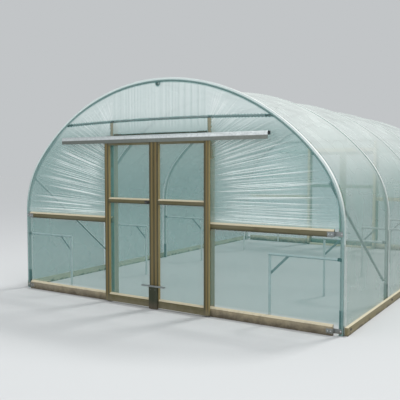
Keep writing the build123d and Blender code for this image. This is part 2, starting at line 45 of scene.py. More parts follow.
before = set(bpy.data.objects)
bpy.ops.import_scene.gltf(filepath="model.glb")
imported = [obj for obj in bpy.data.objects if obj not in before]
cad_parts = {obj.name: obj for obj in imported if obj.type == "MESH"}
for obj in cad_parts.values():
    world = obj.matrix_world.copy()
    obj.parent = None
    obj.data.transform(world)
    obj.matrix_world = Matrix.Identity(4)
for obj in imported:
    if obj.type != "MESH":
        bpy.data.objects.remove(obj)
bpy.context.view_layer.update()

# Where the steel stands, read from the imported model
HOOP_LOW, HOOP_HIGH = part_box("hoop_1")
TUBE_RADIUS = (HOOP_HIGH.y - HOOP_LOW.y) / 2
HOOP_X = HOOP_HIGH.x - TUBE_RADIUS
CROWN_Z = HOOP_HIGH.z - TUBE_RADIUS
LEG_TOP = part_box("cover_left_wall")[1].z
HOOP_NODES = sorted(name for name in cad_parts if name.startswith("hoop_"))
HOOP_YS = [sum(corner.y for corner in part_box(name)) / 2 for name in HOOP_NODES]
BAY = HOOP_YS[1] - HOOP_YS[0]
TUNNEL = "tunnel"

# Width of the stiles of a door leaf
STILE_WIDTH = 0.058

# What every colour property has
COLOUR = {"subtype": "COLOR", "min": 0, "max": 1}


class PolytunnelShape(bpy.types.PropertyGroup):
    """Where the cover runs over the hoops"""

    bend_radius: FloatProperty(
        name="Bend radius",
        description="Radius of the hoops' side bends, to the middle of the tube",
        default=1.019,
        unit="LENGTH",
    )
    cover_stand_off: FloatProperty(
        name="Cover stand-off",
        description="From the middle of the hoop tube out to the cover, over tape and ground tube",
        default=0.0252,
        unit="LENGTH",
    )
    tape_width: FloatProperty(
        name="Tape width",
        description="Width of the white foam tape on the outside of each hoop",
        default=0.032,
        unit="LENGTH",
    )


class PolytunnelFilm(bpy.types.PropertyGroup):
    """Sag, pleats and colours of the polythene"""

    bend_sag: FloatProperty(
        name="Sag at the bends",
        description="How far the cover draws in between two hoops at the side bends",
        default=0.042,
        unit="LENGTH",
    )
    crown_sag: FloatProperty(
        name="Sag at the crown",
        description="How far the cover draws in between two hoops at the crown",
        default=0.043,
        unit="LENGTH",
    )
    wall_sag: FloatProperty(
        name="Sag at the walls",
        description="How far the cover draws in between two hoop legs",
        default=0.008,
        unit="LENGTH",
    )
    pleat_depth: FloatProperty(
        name="Pleat depth",
        description="Height of the largest pleats of an end wall",
        default=0.010,
        unit="LENGTH",
    )
    pleat_count: IntProperty(
        name="Pleats",
        description="Pleats on each side of a doorway",
        default=64,
    )
    cover_tint: FloatVectorProperty(
        name="Cover tint",
        description="Colour of the hazier sheet over the hoops where it is clear",
        default=(0.13, 0.275, 0.235),
        **COLOUR,
    )
    cover_bloom: FloatVectorProperty(
        name="Cover bloom",
        description="Colour of the sheet over the hoops where it is cloudy",
        default=(0.93, 0.945, 0.915),
        **COLOUR,
    )
    light_passed: FloatProperty(
        name="Light passed on",
        description="Share of the light stopped by the sheet that goes on through it, spread out",
        default=0.74,
        min=0,
        max=1,
    )
    tint: FloatVectorProperty(
        name="Tint",
        description="Colour of the polythene where it is clear",
        default=(0.055, 0.315, 0.30),
        **COLOUR,
    )
    bloom: FloatVectorProperty(
        name="Bloom",
        description="Colour of the polythene where it is hazed or creased",
        default=(0.86, 0.94, 0.925),
        **COLOUR,
    )


class PolytunnelTimber(bpy.types.PropertyGroup):
    """Colours of the timber"""

    pale: FloatVectorProperty(
        name="Pale grain",
        description="Colour of the pale grain of the treated timber",
        default=(0.195, 0.174, 0.075),
        **COLOUR,
    )
    brown: FloatVectorProperty(
        name="Dark grain",
        description="Colour of the dark grain of the treated timber",
        default=(0.050, 0.043, 0.018),
        **COLOUR,
    )
    post: FloatVectorProperty(
        name="Posts",
        description="Colour of the door posts' pale grain",
        default=(0.46, 0.39, 0.26),
        **COLOUR,
    )
    grey: FloatVectorProperty(
        name="Weathered timber",
        description="Colour of the grey, weathered base rails",
        default=(0.27, 0.225, 0.135),
        **COLOUR,
    )
    # Painted highlight: the colour sunlight gives the faces and bevels that look up
    edge: FloatVectorProperty(
        name="Dry edges",
        description="Colour of the dry faces and bevels that look up",
        default=(0.74, 0.66, 0.48),
        **COLOUR,
    )


class PolytunnelSteel(bpy.types.PropertyGroup):
    """Colours of the steel"""

    zinc: FloatVectorProperty(
        name="Zinc",
        description="Colour of the galvanised tubes",
        default=(0.72, 0.76, 0.76),
        **COLOUR,
    )
    # Painted shade: a darker copy of the zinc, for the hoops
    hoop: FloatVectorProperty(
        name="Hoops",
        description="Colour of the hoops, duller than the bench tubes",
        default=(0.42, 0.45, 0.43),
        **COLOUR,
    )
    # Painted shade: a darker copy of the zinc, for the braces and head bars
    shaded: FloatVectorProperty(
        name="Braces",
        description="Colour of the duller corner braces",
        default=(0.27, 0.30, 0.30),
        **COLOUR,
    )
    fitting: FloatVectorProperty(
        name="Fittings",
        description="Colour of the weathered clamps and straps",
        default=(0.085, 0.095, 0.095),
        **COLOUR,
    )
    track: FloatVectorProperty(
        name="Track",
        description="Colour of the door tracks' bright upper part",
        default=(0.70, 0.745, 0.745),
        **COLOUR,
    )


class PolytunnelStage(bpy.types.PropertyGroup):
    """The camera, and the colours of the studio"""

    camera_place: FloatVectorProperty(
        name="Camera",
        description="Where the camera stands",
        subtype="TRANSLATION",
        default=(3.922, -8.360, 1.580),
    )
    camera_turn: FloatProperty(
        name="Turn",
        description="How far the camera turns left from looking along the tunnel",
        subtype="ANGLE",
        default=radians(32.49),
    )
    camera_dip: FloatProperty(
        name="Dip",
        description="How far the camera looks down",
        subtype="ANGLE",
        default=radians(3.18),
    )
    lens: FloatProperty(
        name="Lens",
        description="Focal length on a 36 mm sensor",
        subtype="DISTANCE_CAMERA",
        default=52.88,
    )
    backdrop: FloatVectorProperty(
        name="Backdrop",
        description="Colour behind the tunnel",
        default=(0.539, 0.558, 0.571),
        **COLOUR,
    )
    floor: FloatVectorProperty(
        name="Floor",
        description="Colour of the studio floor",
        default=(0.60, 0.61, 0.61),
        **COLOUR,
    )


# Arch of the hoops


def arch_sizes():
    """Bend centre, crown centre, crown radius and bend angle of the hoops' middle line."""
    bend = bpy.context.scene.polytunnel_shape.bend_radius
    bend_x = HOOP_X - bend
    rise = CROWN_Z - LEG_TOP - bend
    drop = (bend_x**2 - rise**2) / (2 * rise)
    crown = drop + CROWN_Z - LEG_TOP
    return bend, bend_x, CROWN_Z - crown, crown, atan2(drop, bend_x)


def arch_length():
    """Length of the hoops' middle line from foot to foot."""
    bend, _, _, crown, sweep = arch_sizes()
    return 2 * (LEG_TOP + bend * sweep + crown * (pi / 2 - sweep))


def arch_point(distance):
    """Place and outward normal, across and up, at a distance along the hoop from the left foot."""
    bend, bend_x, crown_z, crown, sweep = arch_sizes()
    whole = arch_length()
    side = -1 if distance < whole / 2 else 1
    along = min(distance, whole - distance)
    if along < LEG_TOP:
        return Vector((side * HOOP_X, along)), Vector((side, 0))
    along -= LEG_TOP
    if along < bend * sweep:
        turn = along / bend
        place = Vector((side * (bend_x + bend * cos(turn)), LEG_TOP + bend * sin(turn)))
    else:
        turn = sweep + (along - bend * sweep) / crown
        place = Vector((side * crown * cos(turn), crown_z + crown * sin(turn)))
    return place, Vector((side * cos(turn), sin(turn)))


def ease(low, high, value):
    """A smooth step from 0 at low to 1 at high."""
    share = min(max((value - low) / (high - low), 0), 1)
    return share * share * (3 - 2 * share)


# Meshes


def make_piece(name, points, faces, material, body=TUNNEL, places=None, haze=None, slot=None):
    """A smooth mesh piece from points and faces that rides on a body."""
    mesh = bpy.data.meshes.new(name)
    mesh.from_pydata(points, [], faces)
    mesh.polygons.foreach_set("use_smooth", [True] * len(mesh.polygons))
    if places:
        layer = mesh.uv_layers.new(name="UVMap")
        for loop in mesh.loops:
            layer.data[loop.index].uv = places[loop.vertex_index]
    if haze:
        attribute = mesh.attributes.new("haze", "FLOAT", "POINT")
        attribute.data.foreach_set("value", haze)
    mesh.materials.append(material)
    mesh.update()
    piece = bpy.data.objects.new(name, mesh)
    bpy.context.scene.collection.objects.link(piece)
    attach(piece, body)
    return piece


def grid_faces(rows, columns, first=0):
    """Quads over a grid of points that was added row by row."""
    return [
        (
            first + row * columns + column,
            first + (row + 1) * columns + column,
            first + (row + 1) * columns + column + 1,
            first + row * columns + column + 1,
        )
        for row in range(rows - 1)
        for column in range(columns - 1)
    ]


def ring_faces(first, rings, corners):
    """Quads around a stack of closed rings that was added ring by ring."""
    faces = []
    for ring in range(rings - 1):
        for corner in range(corners):
            a = first + ring * corners + corner
            b = first + ring * corners + (corner + 1) % corners
            faces.append((a, b, b + corners, a + corners))
    return faces


def islands(node):
    """Lowest and highest corners of each separate solid of a CAD node."""
    mesh = bmesh.new()
    mesh.from_mesh(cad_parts[node].data)
    bmesh.ops.remove_doubles(mesh, verts=mesh.verts, dist=1e-5)
    left = set(mesh.verts)
    found = []
    while left:
        stack = [left.pop()]
        low, high = stack[0].co.copy(), stack[0].co.copy()
        while stack:
            vertex = stack.pop()
            low = Vector(map(min, low, vertex.co))
            high = Vector(map(max, high, vertex.co))
            for edge in vertex.link_edges:
                other = edge.other_vert(vertex)
                if other in left:
                    left.remove(other)
                    stack.append(other)
        found.append((low, high))
    mesh.free()
    return sorted(found, key=lambda corners: tuple(round(value, 4) for value in corners[0]))


# Shader nodes


def feed(tree, node, **values):
    """Sets or links inputs of a node: Base_Color stands for Base Color, and _0 for its first input."""
    for name, value in values.items():
        socket = node.inputs[int(name[1:]) if name[1:].isdigit() else name.replace("_", " ")]
        if isinstance(value, bpy.types.NodeSocket):
            tree.links.new(value, socket)
        elif socket.type == "RGBA":
            socket.default_value = (*value[:3], 1)
        else:
            socket.default_value = value


def add_node(tree, kind, settings=None, **values):
    """A node with its settings, and values or links for its inputs."""
    node = tree.nodes.new(kind)
    for name, value in (settings or {}).items():
        setattr(node, name, value)
    feed(tree, node, **values)
    return node


def math_node(tree, operation, first, second=0.0, third=0.0, clamp=False):
    """The value of one math node."""
    settings = {"operation": operation, "use_clamp": clamp}
    return add_node(tree, "ShaderNodeMath", settings, _0=first, _1=second, _2=third).outputs[0]


def remap(tree, value, low, high, to_low=0.0, to_high=1.0):
    """A value mapped from one range to another, held inside it."""
    ends = {"From_Min": low, "From_Max": high, "To_Min": to_low, "To_Max": to_high}
    return add_node(tree, "ShaderNodeMapRange", {"clamp": True}, Value=value, **ends).outputs[0]


def mix_colour(tree, share, first, second, blend="MIX"):
    """Two colours mixed by a share."""
    settings = {"data_type": "RGBA", "blend_type": blend}
    return add_node(tree, "ShaderNodeMix", settings, _0=share, _6=first, _7=second).outputs[2]


def axes(tree, vector):
    """The X, Y and Z of a vector."""
    return add_node(tree, "ShaderNodeSeparateXYZ", Vector=vector).outputs


def stretched(tree, vector, scale):
    """Coordinates stretched by a scale for each axis."""
    return add_node(tree, "ShaderNodeMapping", Vector=vector, Scale=scale).outputs[0]


def noise(tree, vector, scale, detail=3.0, rough=0.55, warp=0.0):
    """The value of a noise texture."""
    values = {"Scale": scale, "Detail": detail, "Roughness": rough, "Distortion": warp}
    return add_node(tree, "ShaderNodeTexNoise", Vector=vector, **values).outputs["Fac"]


def cells(tree, vector, scale):
    """A texture of cells, with a distance from each cell's middle and a colour for each cell."""
    return add_node(tree, "ShaderNodeTexVoronoi", {"feature": "F1"}, Vector=vector, Scale=scale)


# Colours that dirt and wear bring to the finishes, and painted light and shade: the light inside the tunnel,
# lit sides, and shade beneath rails and tubes
FILM_DUST = (0.38, 0.37, 0.32)
KNOT = (0.07, 0.045, 0.025)
WORN_TIMBER = (0.33, 0.315, 0.28)
TIMBER_SHADE_LINE = (0.022, 0.024, 0.010)
TIMBER_SOIL = (0.11, 0.09, 0.06)
TIMBER_INSIDE_LIGHT = (0.86, 0.78, 0.58)
LEAF_SOIL = (0.20, 0.175, 0.11)
LEAF_INSIDE_LIGHT = (0.70, 0.64, 0.46)
LEAF_HEART = (0.235, 0.165, 0.055)
LEAF_ARRIS = (0.045, 0.038, 0.016)
LEAF_SEAM = (0.02, 0.016, 0.01)
LEAF_SIDE_LIGHT = (0.42, 0.32, 0.14)
DULL_ZINC = (0.30, 0.295, 0.28)
DARK_CRYSTAL = (0.84, 0.85, 0.86)
ZINC_SOIL = (0.16, 0.13, 0.09)
ZINC_SHADE = (0.135, 0.15, 0.13)
ZINC_INSIDE_LIGHT = (0.80, 0.84, 0.81)
ZINC_UNDER_SHADE = (0.06, 0.07, 0.065)
WORN_PLASTIC = (0.35, 0.35, 0.34)


def new_group(name, inputs, outputs):
    """An empty shader node group with named sockets, its input and output nodes."""
    group = bpy.data.node_groups.new(name, "ShaderNodeTree")
    for label, kind, default in inputs:
        socket = group.interface.new_socket(name=label, in_out="INPUT", socket_type="NodeSocket" + kind)
        if default is not None:
            socket.default_value = default
    for label, kind in outputs:
        group.interface.new_socket(name=label, in_out="OUTPUT", socket_type="NodeSocket" + kind)
    return group, group.nodes.new("NodeGroupInput"), group.nodes.new("NodeGroupOutput")


def haze_group():
    """Whiteness of polythene as the mesh gives it, below zero where it lies on something and is clear."""
    name = "Polythene Haze"
    if name in bpy.data.node_groups:
        return bpy.data.node_groups[name]
    group, given, result = new_group(
        name,
        [
            ("Vector", "Vector", None),
            ("Clear", "Color", (0.5, 0.6, 0.65, 1)),
            ("Bloom", "Color", (0.9, 0.9, 0.9, 1)),
            ("Haze", "Float", 0.0),
            ("Clear Alpha", "Float", 0.3),
            ("Bloom Alpha", "Float", 0.7),
            ("Streaks", "Float", 0.5),
            ("Dust", "Float", 0.0),
        ],
        [("Color", "Color"), ("Alpha", "Float"), ("Roughness", "Float")],
    )
    vector = given.outputs["Vector"]
    blotch = remap(group, noise(group, vector, 0.9, 2, 0.5, 0.4), 0.38, 0.66)
    fine = noise(group, vector, 3.0, 1, 0.5)
    streak_place = stretched(group, vector, (0.7, 16.0, 1.0))
    streak = remap(group, noise(group, streak_place, 1.0, 4, 0.6, 0.3), 0.45, 0.75)
    streak = math_node(group, "MULTIPLY", streak, given.outputs["Streaks"])
    haze = math_node(group, "MULTIPLY_ADD", blotch, 0.07, given.outputs["Haze"])
    haze = math_node(group, "MULTIPLY_ADD", streak, 0.25, haze)
    colour = mix_colour(group, haze, given.outputs["Clear"], given.outputs["Bloom"])
    dust = remap(group, noise(group, vector, 1.3, 3, 0.5, 0.4), 0.52, 0.80)
    dust = math_node(group, "MULTIPLY", dust, given.outputs["Dust"])
    colour = mix_colour(group, dust, colour, FILM_DUST)
    spread = math_node(group, "SUBTRACT", given.outputs["Bloom Alpha"], given.outputs["Clear Alpha"])
    alpha = math_node(group, "MULTIPLY_ADD", spread, haze, given.outputs["Clear Alpha"], clamp=True)
    rough = remap(group, fine, 0.3, 0.7, 0.16, 0.34)
    feed(group, result, Color=colour, Alpha=alpha, Roughness=rough)
    return group


def grain_group():
    """Grain, knots and weathering of sawn timber whose length runs along the group's X."""
    name = "Timber Grain"
    if name in bpy.data.node_groups:
        return bpy.data.node_groups[name]
    group, given, result = new_group(
        name,
        [
            ("Vector", "Vector", None),
            ("Pale", "Color", (0.5, 0.4, 0.3, 1)),
            ("Dark", "Color", (0.2, 0.15, 0.1, 1)),
            ("Weather", "Float", 0.4),
        ],
        [("Color", "Color"), ("Roughness", "Float"), ("Height", "Float")],
    )
    vector = given.outputs["Vector"]
    warp = noise(group, stretched(group, vector, (0.8, 6.0, 6.0)), 1.0, 3, 0.5)
    sway = math_node(group, "MULTIPLY", warp, 0.035)
    swing = add_node(group, "ShaderNodeCombineXYZ", Y=sway).outputs[0]
    bent = add_node(group, "ShaderNodeVectorMath", {"operation": "ADD"}, _0=vector, _1=swing).outputs[0]
    rings = noise(group, stretched(group, bent, (1.2, 90.0, 90.0)), 1.0, 4, 0.6)
    fibre = noise(group, stretched(group, vector, (9.0, 420.0, 420.0)), 1.0, 3, 0.6)
    patch = noise(group, stretched(group, vector, (1.6, 9.0, 9.0)), 1.0, 4, 0.6)
    knot = cells(group, stretched(group, vector, (2.1, 9.0, 9.0)), 1.0).outputs["Distance"]
    knot = remap(group, knot, 0.02, 0.13, 1.0, 0.0)
    mark = math_node(group, "MULTIPLY_ADD", rings, 0.9, math_node(group, "MULTIPLY", fibre, 0.45))
    mark = remap(group, mark, 0.38, 0.98)
    colour = mix_colour(group, mark, given.outputs["Pale"], given.outputs["Dark"])
    colour = mix_colour(group, math_node(group, "MULTIPLY", knot, 0.75), colour, KNOT)
    worn = math_node(group, "MULTIPLY", remap(group, patch, 0.42, 0.72), given.outputs["Weather"])
    colour = mix_colour(group, worn, colour, WORN_TIMBER)
    rough = remap(group, mark, 0.0, 1.0, 0.62, 0.88)
    height = math_node(group, "MULTIPLY_ADD", rings, 0.6, math_node(group, "MULTIPLY", fibre, 0.5))
    height = math_node(group, "MULTIPLY_ADD", knot, -0.3, height)
    feed(group, result, Color=colour, Roughness=rough, Height=height)
    return group


def spangle_group():
    """Crystal spangle and dull spots of hot-dip zinc."""
    name = "Zinc Spangle"
    if name in bpy.data.node_groups:
        return bpy.data.node_groups[name]
    group, given, result = new_group(
        name,
        [
            ("Vector", "Vector", None),
            ("Zinc", "Color", (0.6, 0.6, 0.6, 1)),
            ("Scale", "Float", 90.0),
            ("Tarnish", "Float", 0.4),
            ("Metal", "Float", 0.9),
        ],
        [("Color", "Color"), ("Metallic", "Float"), ("Roughness", "Float"), ("Height", "Float")],
    )
    vector = given.outputs["Vector"]
    crystals = cells(group, vector, given.outputs["Scale"])
    tone = add_node(group, "ShaderNodeSeparateColor", Color=crystals.outputs["Color"]).outputs[0]
    dull = remap(group, noise(group, vector, 7.0, 5, 0.65), 0.45, 0.7)
    dull = math_node(group, "MULTIPLY", dull, given.outputs["Tarnish"])
    darker = mix_colour(group, 1.0, given.outputs["Zinc"], DARK_CRYSTAL, "MULTIPLY")
    colour = mix_colour(group, tone, given.outputs["Zinc"], darker)
    colour = mix_colour(group, dull, colour, DULL_ZINC)
    metal = math_node(group, "MULTIPLY", remap(group, dull, 0.0, 1.0, 1.0, 0.4), given.outputs["Metal"])
    rough = math_node(group, "MULTIPLY_ADD", tone, 0.14, remap(group, dull, 0.0, 1.0, 0.34, 0.6))
    height = math_node(group, "MULTIPLY", tone, 0.4)
    feed(group, result, Color=colour, Metallic=metal, Roughness=rough, Height=height)
    return group


def soil_group():
    """Splashed soil and moisture near the ground, as a mask that fades upward."""
    name = "Ground Splash"
    if name in bpy.data.node_groups:
        return bpy.data.node_groups[name]
    group, given, result = new_group(
        name,
        [("Vector", "Vector", None), ("Reach", "Float", 0.08)],
        [("Mask", "Float")],
    )
    vector = given.outputs["Vector"]
    raggedness = 0.16
    blot = noise(group, vector, 14.0, 5, 0.65)
    height = math_node(group, "MULTIPLY_ADD", blot, -raggedness, axes(group, vector)[2])
    top = math_node(group, "SUBTRACT", given.outputs["Reach"], raggedness / 2)
    feed(group, result, Mask=remap(group, height, -raggedness / 2, top, 1.0, 0.0))
    return group


def start_material(name):
    """A material with an empty tree, its Principled shader linked to the output."""
    material = bpy.data.materials.new(name)
    material.use_nodes = True
    tree = material.node_tree
    tree.nodes.clear()
    shader = tree.nodes.new("ShaderNodeBsdfPrincipled")
    output = tree.nodes.new("ShaderNodeOutputMaterial")
    tree.links.new(shader.outputs[0], output.inputs["Surface"])
    return material, tree, shader


def place_group(tree, group, **values):
    """The outputs of a group node with values or links for its inputs."""
    return add_node(tree, "ShaderNodeGroup", {"node_tree": group}, **values).outputs


def bump(tree, height, strength, distance):
    """A normal bumped by a height."""
    values = {"Height": height, "Strength": strength, "Distance": distance}
    return add_node(tree, "ShaderNodeBump", **values).outputs[0]


def object_place(tree):
    """Coordinates in metres that move with the piece."""
    return tree.nodes.new("ShaderNodeTexCoord").outputs["Object"]


def splashed(tree, colour, place, reach, soil):
    """The colour with soil splashed up to a reach above the ground."""
    mask = place_group(tree, soil_group(), Vector=place, Reach=reach)["Mask"]
    return mix_colour(tree, mask, colour, soil)


def film_material(name, tint, bloom, clear_alpha, bloom_alpha, streaks, dust=0.0):
    """Polythene sheet, with its whiteness read from the mesh."""
    film = bpy.context.scene.polytunnel_film
    material, tree, shader = start_material(name)
    place = tree.nodes.new("ShaderNodeTexCoord").outputs["UV"]
    given = add_node(tree, "ShaderNodeAttribute", {"attribute_name": "haze"}).outputs["Fac"]
    haze = place_group(
        tree,
        haze_group(),
        Vector=place,
        Clear=tint,
        Bloom=bloom,
        Haze=given,
        Clear_Alpha=clear_alpha,
        Bloom_Alpha=bloom_alpha,
        Streaks=streaks,
        Dust=dust,
    )
    shadow_ray = tree.nodes.new("ShaderNodeLightPath").outputs["Is Shadow Ray"]
    kept = math_node(tree, "MULTIPLY_ADD", shadow_ray, -film.light_passed, 1.0)
    alpha = math_node(tree, "MULTIPLY", haze["Alpha"], kept)
    feed(tree, shader, Base_Color=haze["Color"], Alpha=alpha, Roughness=haze["Roughness"])
    feed(tree, shader, IOR=1.51, Specular_IOR_Level=0.6)
    return material


def zinc_material(name, colour, scale, tarnish, splash=0.0, shade_below=0.0, metal=0.9, under_shade=0.7):
    """Hot-dip zinc on steel, with painted light on its faces inside the cover, painted shade on the faces
    that look down and painted shade below a height.
    """
    material, tree, shader = start_material(name)
    place = object_place(tree)
    zinc = place_group(
        tree, spangle_group(), Vector=place, Zinc=colour, Scale=scale, Tarnish=tarnish, Metal=metal
    )
    colour = zinc["Color"]
    if splash:
        colour = splashed(tree, colour, place, splash, ZINC_SOIL)
    if shade_below:
        shade = remap(tree, axes(tree, place)[2], shade_below - 0.003, shade_below + 0.003, 0.9, 0.0)
        colour = mix_colour(tree, shade, colour, ZINC_SHADE)
    faces = face_axes(tree)
    # Painted light on the faces inside the cover, as if lit through the polythene
    colour = mix_colour(tree, inward_faces(tree, place, faces, 0.8), colour, ZINC_INSIDE_LIGHT)
    # Painted shade on the faces that look down
    colour = mix_colour(tree, remap(tree, faces[2], -0.75, -0.2, under_shade, 0.0), colour, ZINC_UNDER_SHADE)
    feed(tree, shader, Base_Color=colour, Metallic=zinc["Metallic"], Roughness=zinc["Roughness"])
    feed(tree, shader, Normal=bump(tree, zinc["Height"], 0.12, 0.0006))
    return material


# Turns that bring a board's length onto the grain's X
ALONG_X = (0.0, 0.0, 0.0)
ALONG_Y = (0.0, 0.0, pi / 2)
ALONG_Z = (0.0, pi / 2, 0.0)


def board_place(tree, turn, shift=0.0):
    """Coordinates whose X runs along a board."""
    values = {"Vector": object_place(tree), "Rotation": turn, "Location": (shift, 0, 0)}
    return add_node(tree, "ShaderNodeMapping", **values).outputs[0]


def face_axes(tree):
    """How far a face looks along each axis."""
    return axes(tree, tree.nodes.new("ShaderNodeNewGeometry").outputs["True Normal"])


def inward_faces(tree, place, faces, amount):
    """A mask over the faces far from the tunnel's middle that look back to it, where painted light goes."""
    spot = axes(tree, place)
    outward = math_node(tree, "MULTIPLY", spot[0], faces[0])
    outward = math_node(tree, "MULTIPLY_ADD", spot[1], faces[1], outward)
    return remap(tree, outward, -1.9, -1.4, amount, 0.0)


def painted_top_light(tree, colour, grain, up, top_light):
    """The colour with a painted highlight of sunlight on the faces that look up."""
    edge = bpy.context.scene.polytunnel_timber.edge
    sunlit = mix_colour(tree, 0.35, edge, grain["Color"], "MULTIPLY")
    lit = remap(tree, up, 0.3, 0.6, 0.0, top_light)
    return mix_colour(tree, lit, colour, mix_colour(tree, 0.85, sunlit, edge))


def timber_material(name, pale, dark, weather, turn, splash=0.0, top_light=0.9, shade_line_from=None, inside_light=0.8):
    """Sawn timber, with a painted highlight on the faces that look up, a painted shade line along its lower
    edge and painted light on its faces inside the cover.
    """
    material, tree, shader = start_material(name)
    grain = place_group(
        tree, grain_group(), Vector=board_place(tree, turn), Pale=pale, Dark=dark, Weather=weather
    )
    colour = grain["Color"]
    place = object_place(tree)
    # Painted shade: a dark band along the rail's lower edge, where shade falls beneath it
    if shade_line_from:
        shade_line = remap(tree, axes(tree, place)[2], shade_line_from, shade_line_from + 0.026, 0.85, 0.0)
        colour = mix_colour(tree, shade_line, colour, TIMBER_SHADE_LINE)
    faces = face_axes(tree)
    # Painted light on the faces inside the cover, as if lit through the polythene
    colour = mix_colour(tree, inward_faces(tree, place, faces, inside_light), colour, TIMBER_INSIDE_LIGHT)
    # Painted highlight of sunlight on the faces that look up
    colour = painted_top_light(tree, colour, grain, faces[2], top_light)
    if splash:
        colour = splashed(tree, colour, place, splash, TIMBER_SOIL)
    normal = bump(tree, grain["Height"], 0.5, 0.0015)
    feed(tree, shader, Base_Color=colour, Roughness=grain["Roughness"], Normal=normal)
    return material


def leaf_material(name, pale, dark, centre, half_pane, mid_low):
    """Leaf timber: grain up the stiles and across the rails, dark lines at the joints, a painted shade line
    along the mid rail's lower edge.
    """
    material, tree, shader = start_material(name)
    shaded = [0.7 * value for value in pale]
    upright = place_group(
        tree, grain_group(), Vector=board_place(tree, ALONG_Z), Pale=shaded, Dark=dark, Weather=0.12
    )
    across = place_group(
        tree, grain_group(), Vector=board_place(tree, ALONG_X, 0.7), Pale=pale, Dark=dark, Weather=0.2
    )
    place = object_place(tree)
    spot = axes(tree, place)
    faces = face_axes(tree)
    from_middle = math_node(tree, "SUBTRACT", math_node(tree, "ABSOLUTE", spot[0]), centre)
    past = math_node(tree, "SUBTRACT", math_node(tree, "ABSOLUTE", from_middle), half_pane)
    stile = math_node(tree, "GREATER_THAN", past, -0.0005)
    colour = mix_colour(tree, stile, across["Color"], upright["Color"])
    # A lighter band down each stile with darker strips toward its edges: partly the grain, partly painted
    # shade across the stile's face
    from_heart = math_node(tree, "ABSOLUTE", math_node(tree, "SUBTRACT", past, 0.6 * STILE_WIDTH))
    heart = math_node(tree, "MULTIPLY", remap(tree, from_heart, 0.004, 0.015, 0.75, 0.0), stile)
    colour = mix_colour(tree, heart, colour, LEAF_HEART)
    arris = math_node(tree, "MULTIPLY", remap(tree, from_heart, 0.017, 0.026, 0.0, 0.6), stile)
    colour = mix_colour(tree, arris, colour, LEAF_ARRIS)
    seam = remap(tree, math_node(tree, "ABSOLUTE", past), 0.0, 0.0016, 0.8, 0.0)
    seam = math_node(tree, "MULTIPLY", seam, math_node(tree, "ABSOLUTE", faces[1]))
    colour = mix_colour(tree, seam, colour, LEAF_SEAM)
    # Painted light on the side faces of the stiles and rails, which look toward the light
    lit_sides = remap(tree, math_node(tree, "ABSOLUTE", faces[0]), 0.5, 0.8, 0.0, 0.7)
    colour = mix_colour(tree, lit_sides, colour, LEAF_SIDE_LIGHT)
    # Painted shade: a dark band along the mid rail's lower edge, off the stiles
    rise = math_node(tree, "ABSOLUTE", math_node(tree, "SUBTRACT", spot[2], mid_low))
    shade_line = remap(tree, rise, 0.0, 0.020, 0.8, 0.0)
    shade_line = math_node(tree, "MULTIPLY", shade_line, math_node(tree, "SUBTRACT", 1.0, stile))
    colour = mix_colour(tree, shade_line, colour, TIMBER_SHADE_LINE)
    # Painted light on the faces inside the cover, as if lit through the polythene
    colour = mix_colour(tree, inward_faces(tree, place, faces, 0.8), colour, LEAF_INSIDE_LIGHT)
    # Painted highlight of sunlight on the faces that look up
    colour = painted_top_light(tree, colour, across, faces[2], 0.8)
    colour = splashed(tree, colour, place, 0.09, LEAF_SOIL)
    normal = bump(tree, upright["Height"], 0.5, 0.0015)
    feed(tree, shader, Base_Color=colour, Roughness=upright["Roughness"], Normal=normal)
    return material


def plain_material(name, colour, rough, speck):
    """Moulded plastic or paint with a fine speckle and worn spots."""
    material, tree, shader = start_material(name)
    fine = noise(tree, object_place(tree), 60.0, 4, 0.6)
    colour = mix_colour(tree, remap(tree, fine, 0.5, 0.75, 0.0, speck), colour, WORN_PLASTIC)
    rough = remap(tree, fine, 0.3, 0.7, rough - 0.08, rough + 0.1)
    feed(tree, shader, Base_Color=colour, Roughness=rough, Normal=bump(tree, fine, 0.15, 0.0005))
    return material


def dress(material, *names):
    """Gives CAD nodes a material."""
    for name in names:
        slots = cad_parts[name].data.materials
        slots.clear()
        slots.append(material)


# Operators


class POLYTUNNEL_OT_steel(bpy.types.Operator):
    """Finish the hoops, tubes, clamps, straps, tracks and irons in zinc"""

    bl_idname = "polytunnel.steel"
    bl_label = "Finish the steel"

    def execute(self, context):
        steel = context.scene.polytunnel_steel
        # The hoops, braces and head bars take darker copies of the zinc, as painted shade
        end_hoop = zinc_material("end_hoop_zinc", steel.hoop, 120.0, 0.3, metal=0.4)
        dress(end_hoop, HOOP_NODES[0], HOOP_NODES[-1], "ridge_tube")
        inner_hoop = zinc_material("inner_hoop_zinc", steel.hoop, 120.0, 0.3, metal=0.4, under_shade=0.1)
        dress(inner_hoop, *HOOP_NODES[1:-1])
        dress(zinc_material("bench_zinc", steel.zinc, 120.0, 0.2, metal=0.3), "bench_arms", "bench_legs")
        brace = zinc_material("brace_zinc", steel.shaded, 120.0, 0.3, metal=0.3)
        dress(brace, "corner_braces", "bench_braces")
        dress(zinc_material("bar_zinc", steel.shaded, 120.0, 0.4, metal=0.4), "head_bars")
        dress(zinc_material("foot_zinc", steel.fitting, 110.0, 0.6, splash=0.12), "ground_tubes")
        dress(
            zinc_material("fitting_zinc", steel.fitting, 200.0, 0.7),
            "ridge_saddles",
            "head_bar_clamps",
            "bench_collars",
            "track_brackets",
            "front_left_door_hangers",
            "front_right_door_hangers",
            "rear_door_hangers",
        )
        strap = zinc_material("strap_zinc", steel.shaded, 160.0, 0.4, splash=0.06, metal=0.5)
        dress(strap, "rail_straps", "door_guide_irons")
        low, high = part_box("door_tracks")
        bright_share = 0.51
        step_z = high.z - bright_share * (high.z - low.z)
        dress(zinc_material("track_zinc", steel.track, 60.0, 0.1, shade_below=step_z), "door_tracks")
        dress(plain_material("plug_plastic", (0.010, 0.010, 0.012), 0.5, 0.1), "track_end_plugs")
        dress(
            plain_material("black_paint", (0.015, 0.015, 0.015), 0.45, 0.4),
            "front_left_door_latch",
            "side_rail_bolts",
        )
        return {"FINISHED"}


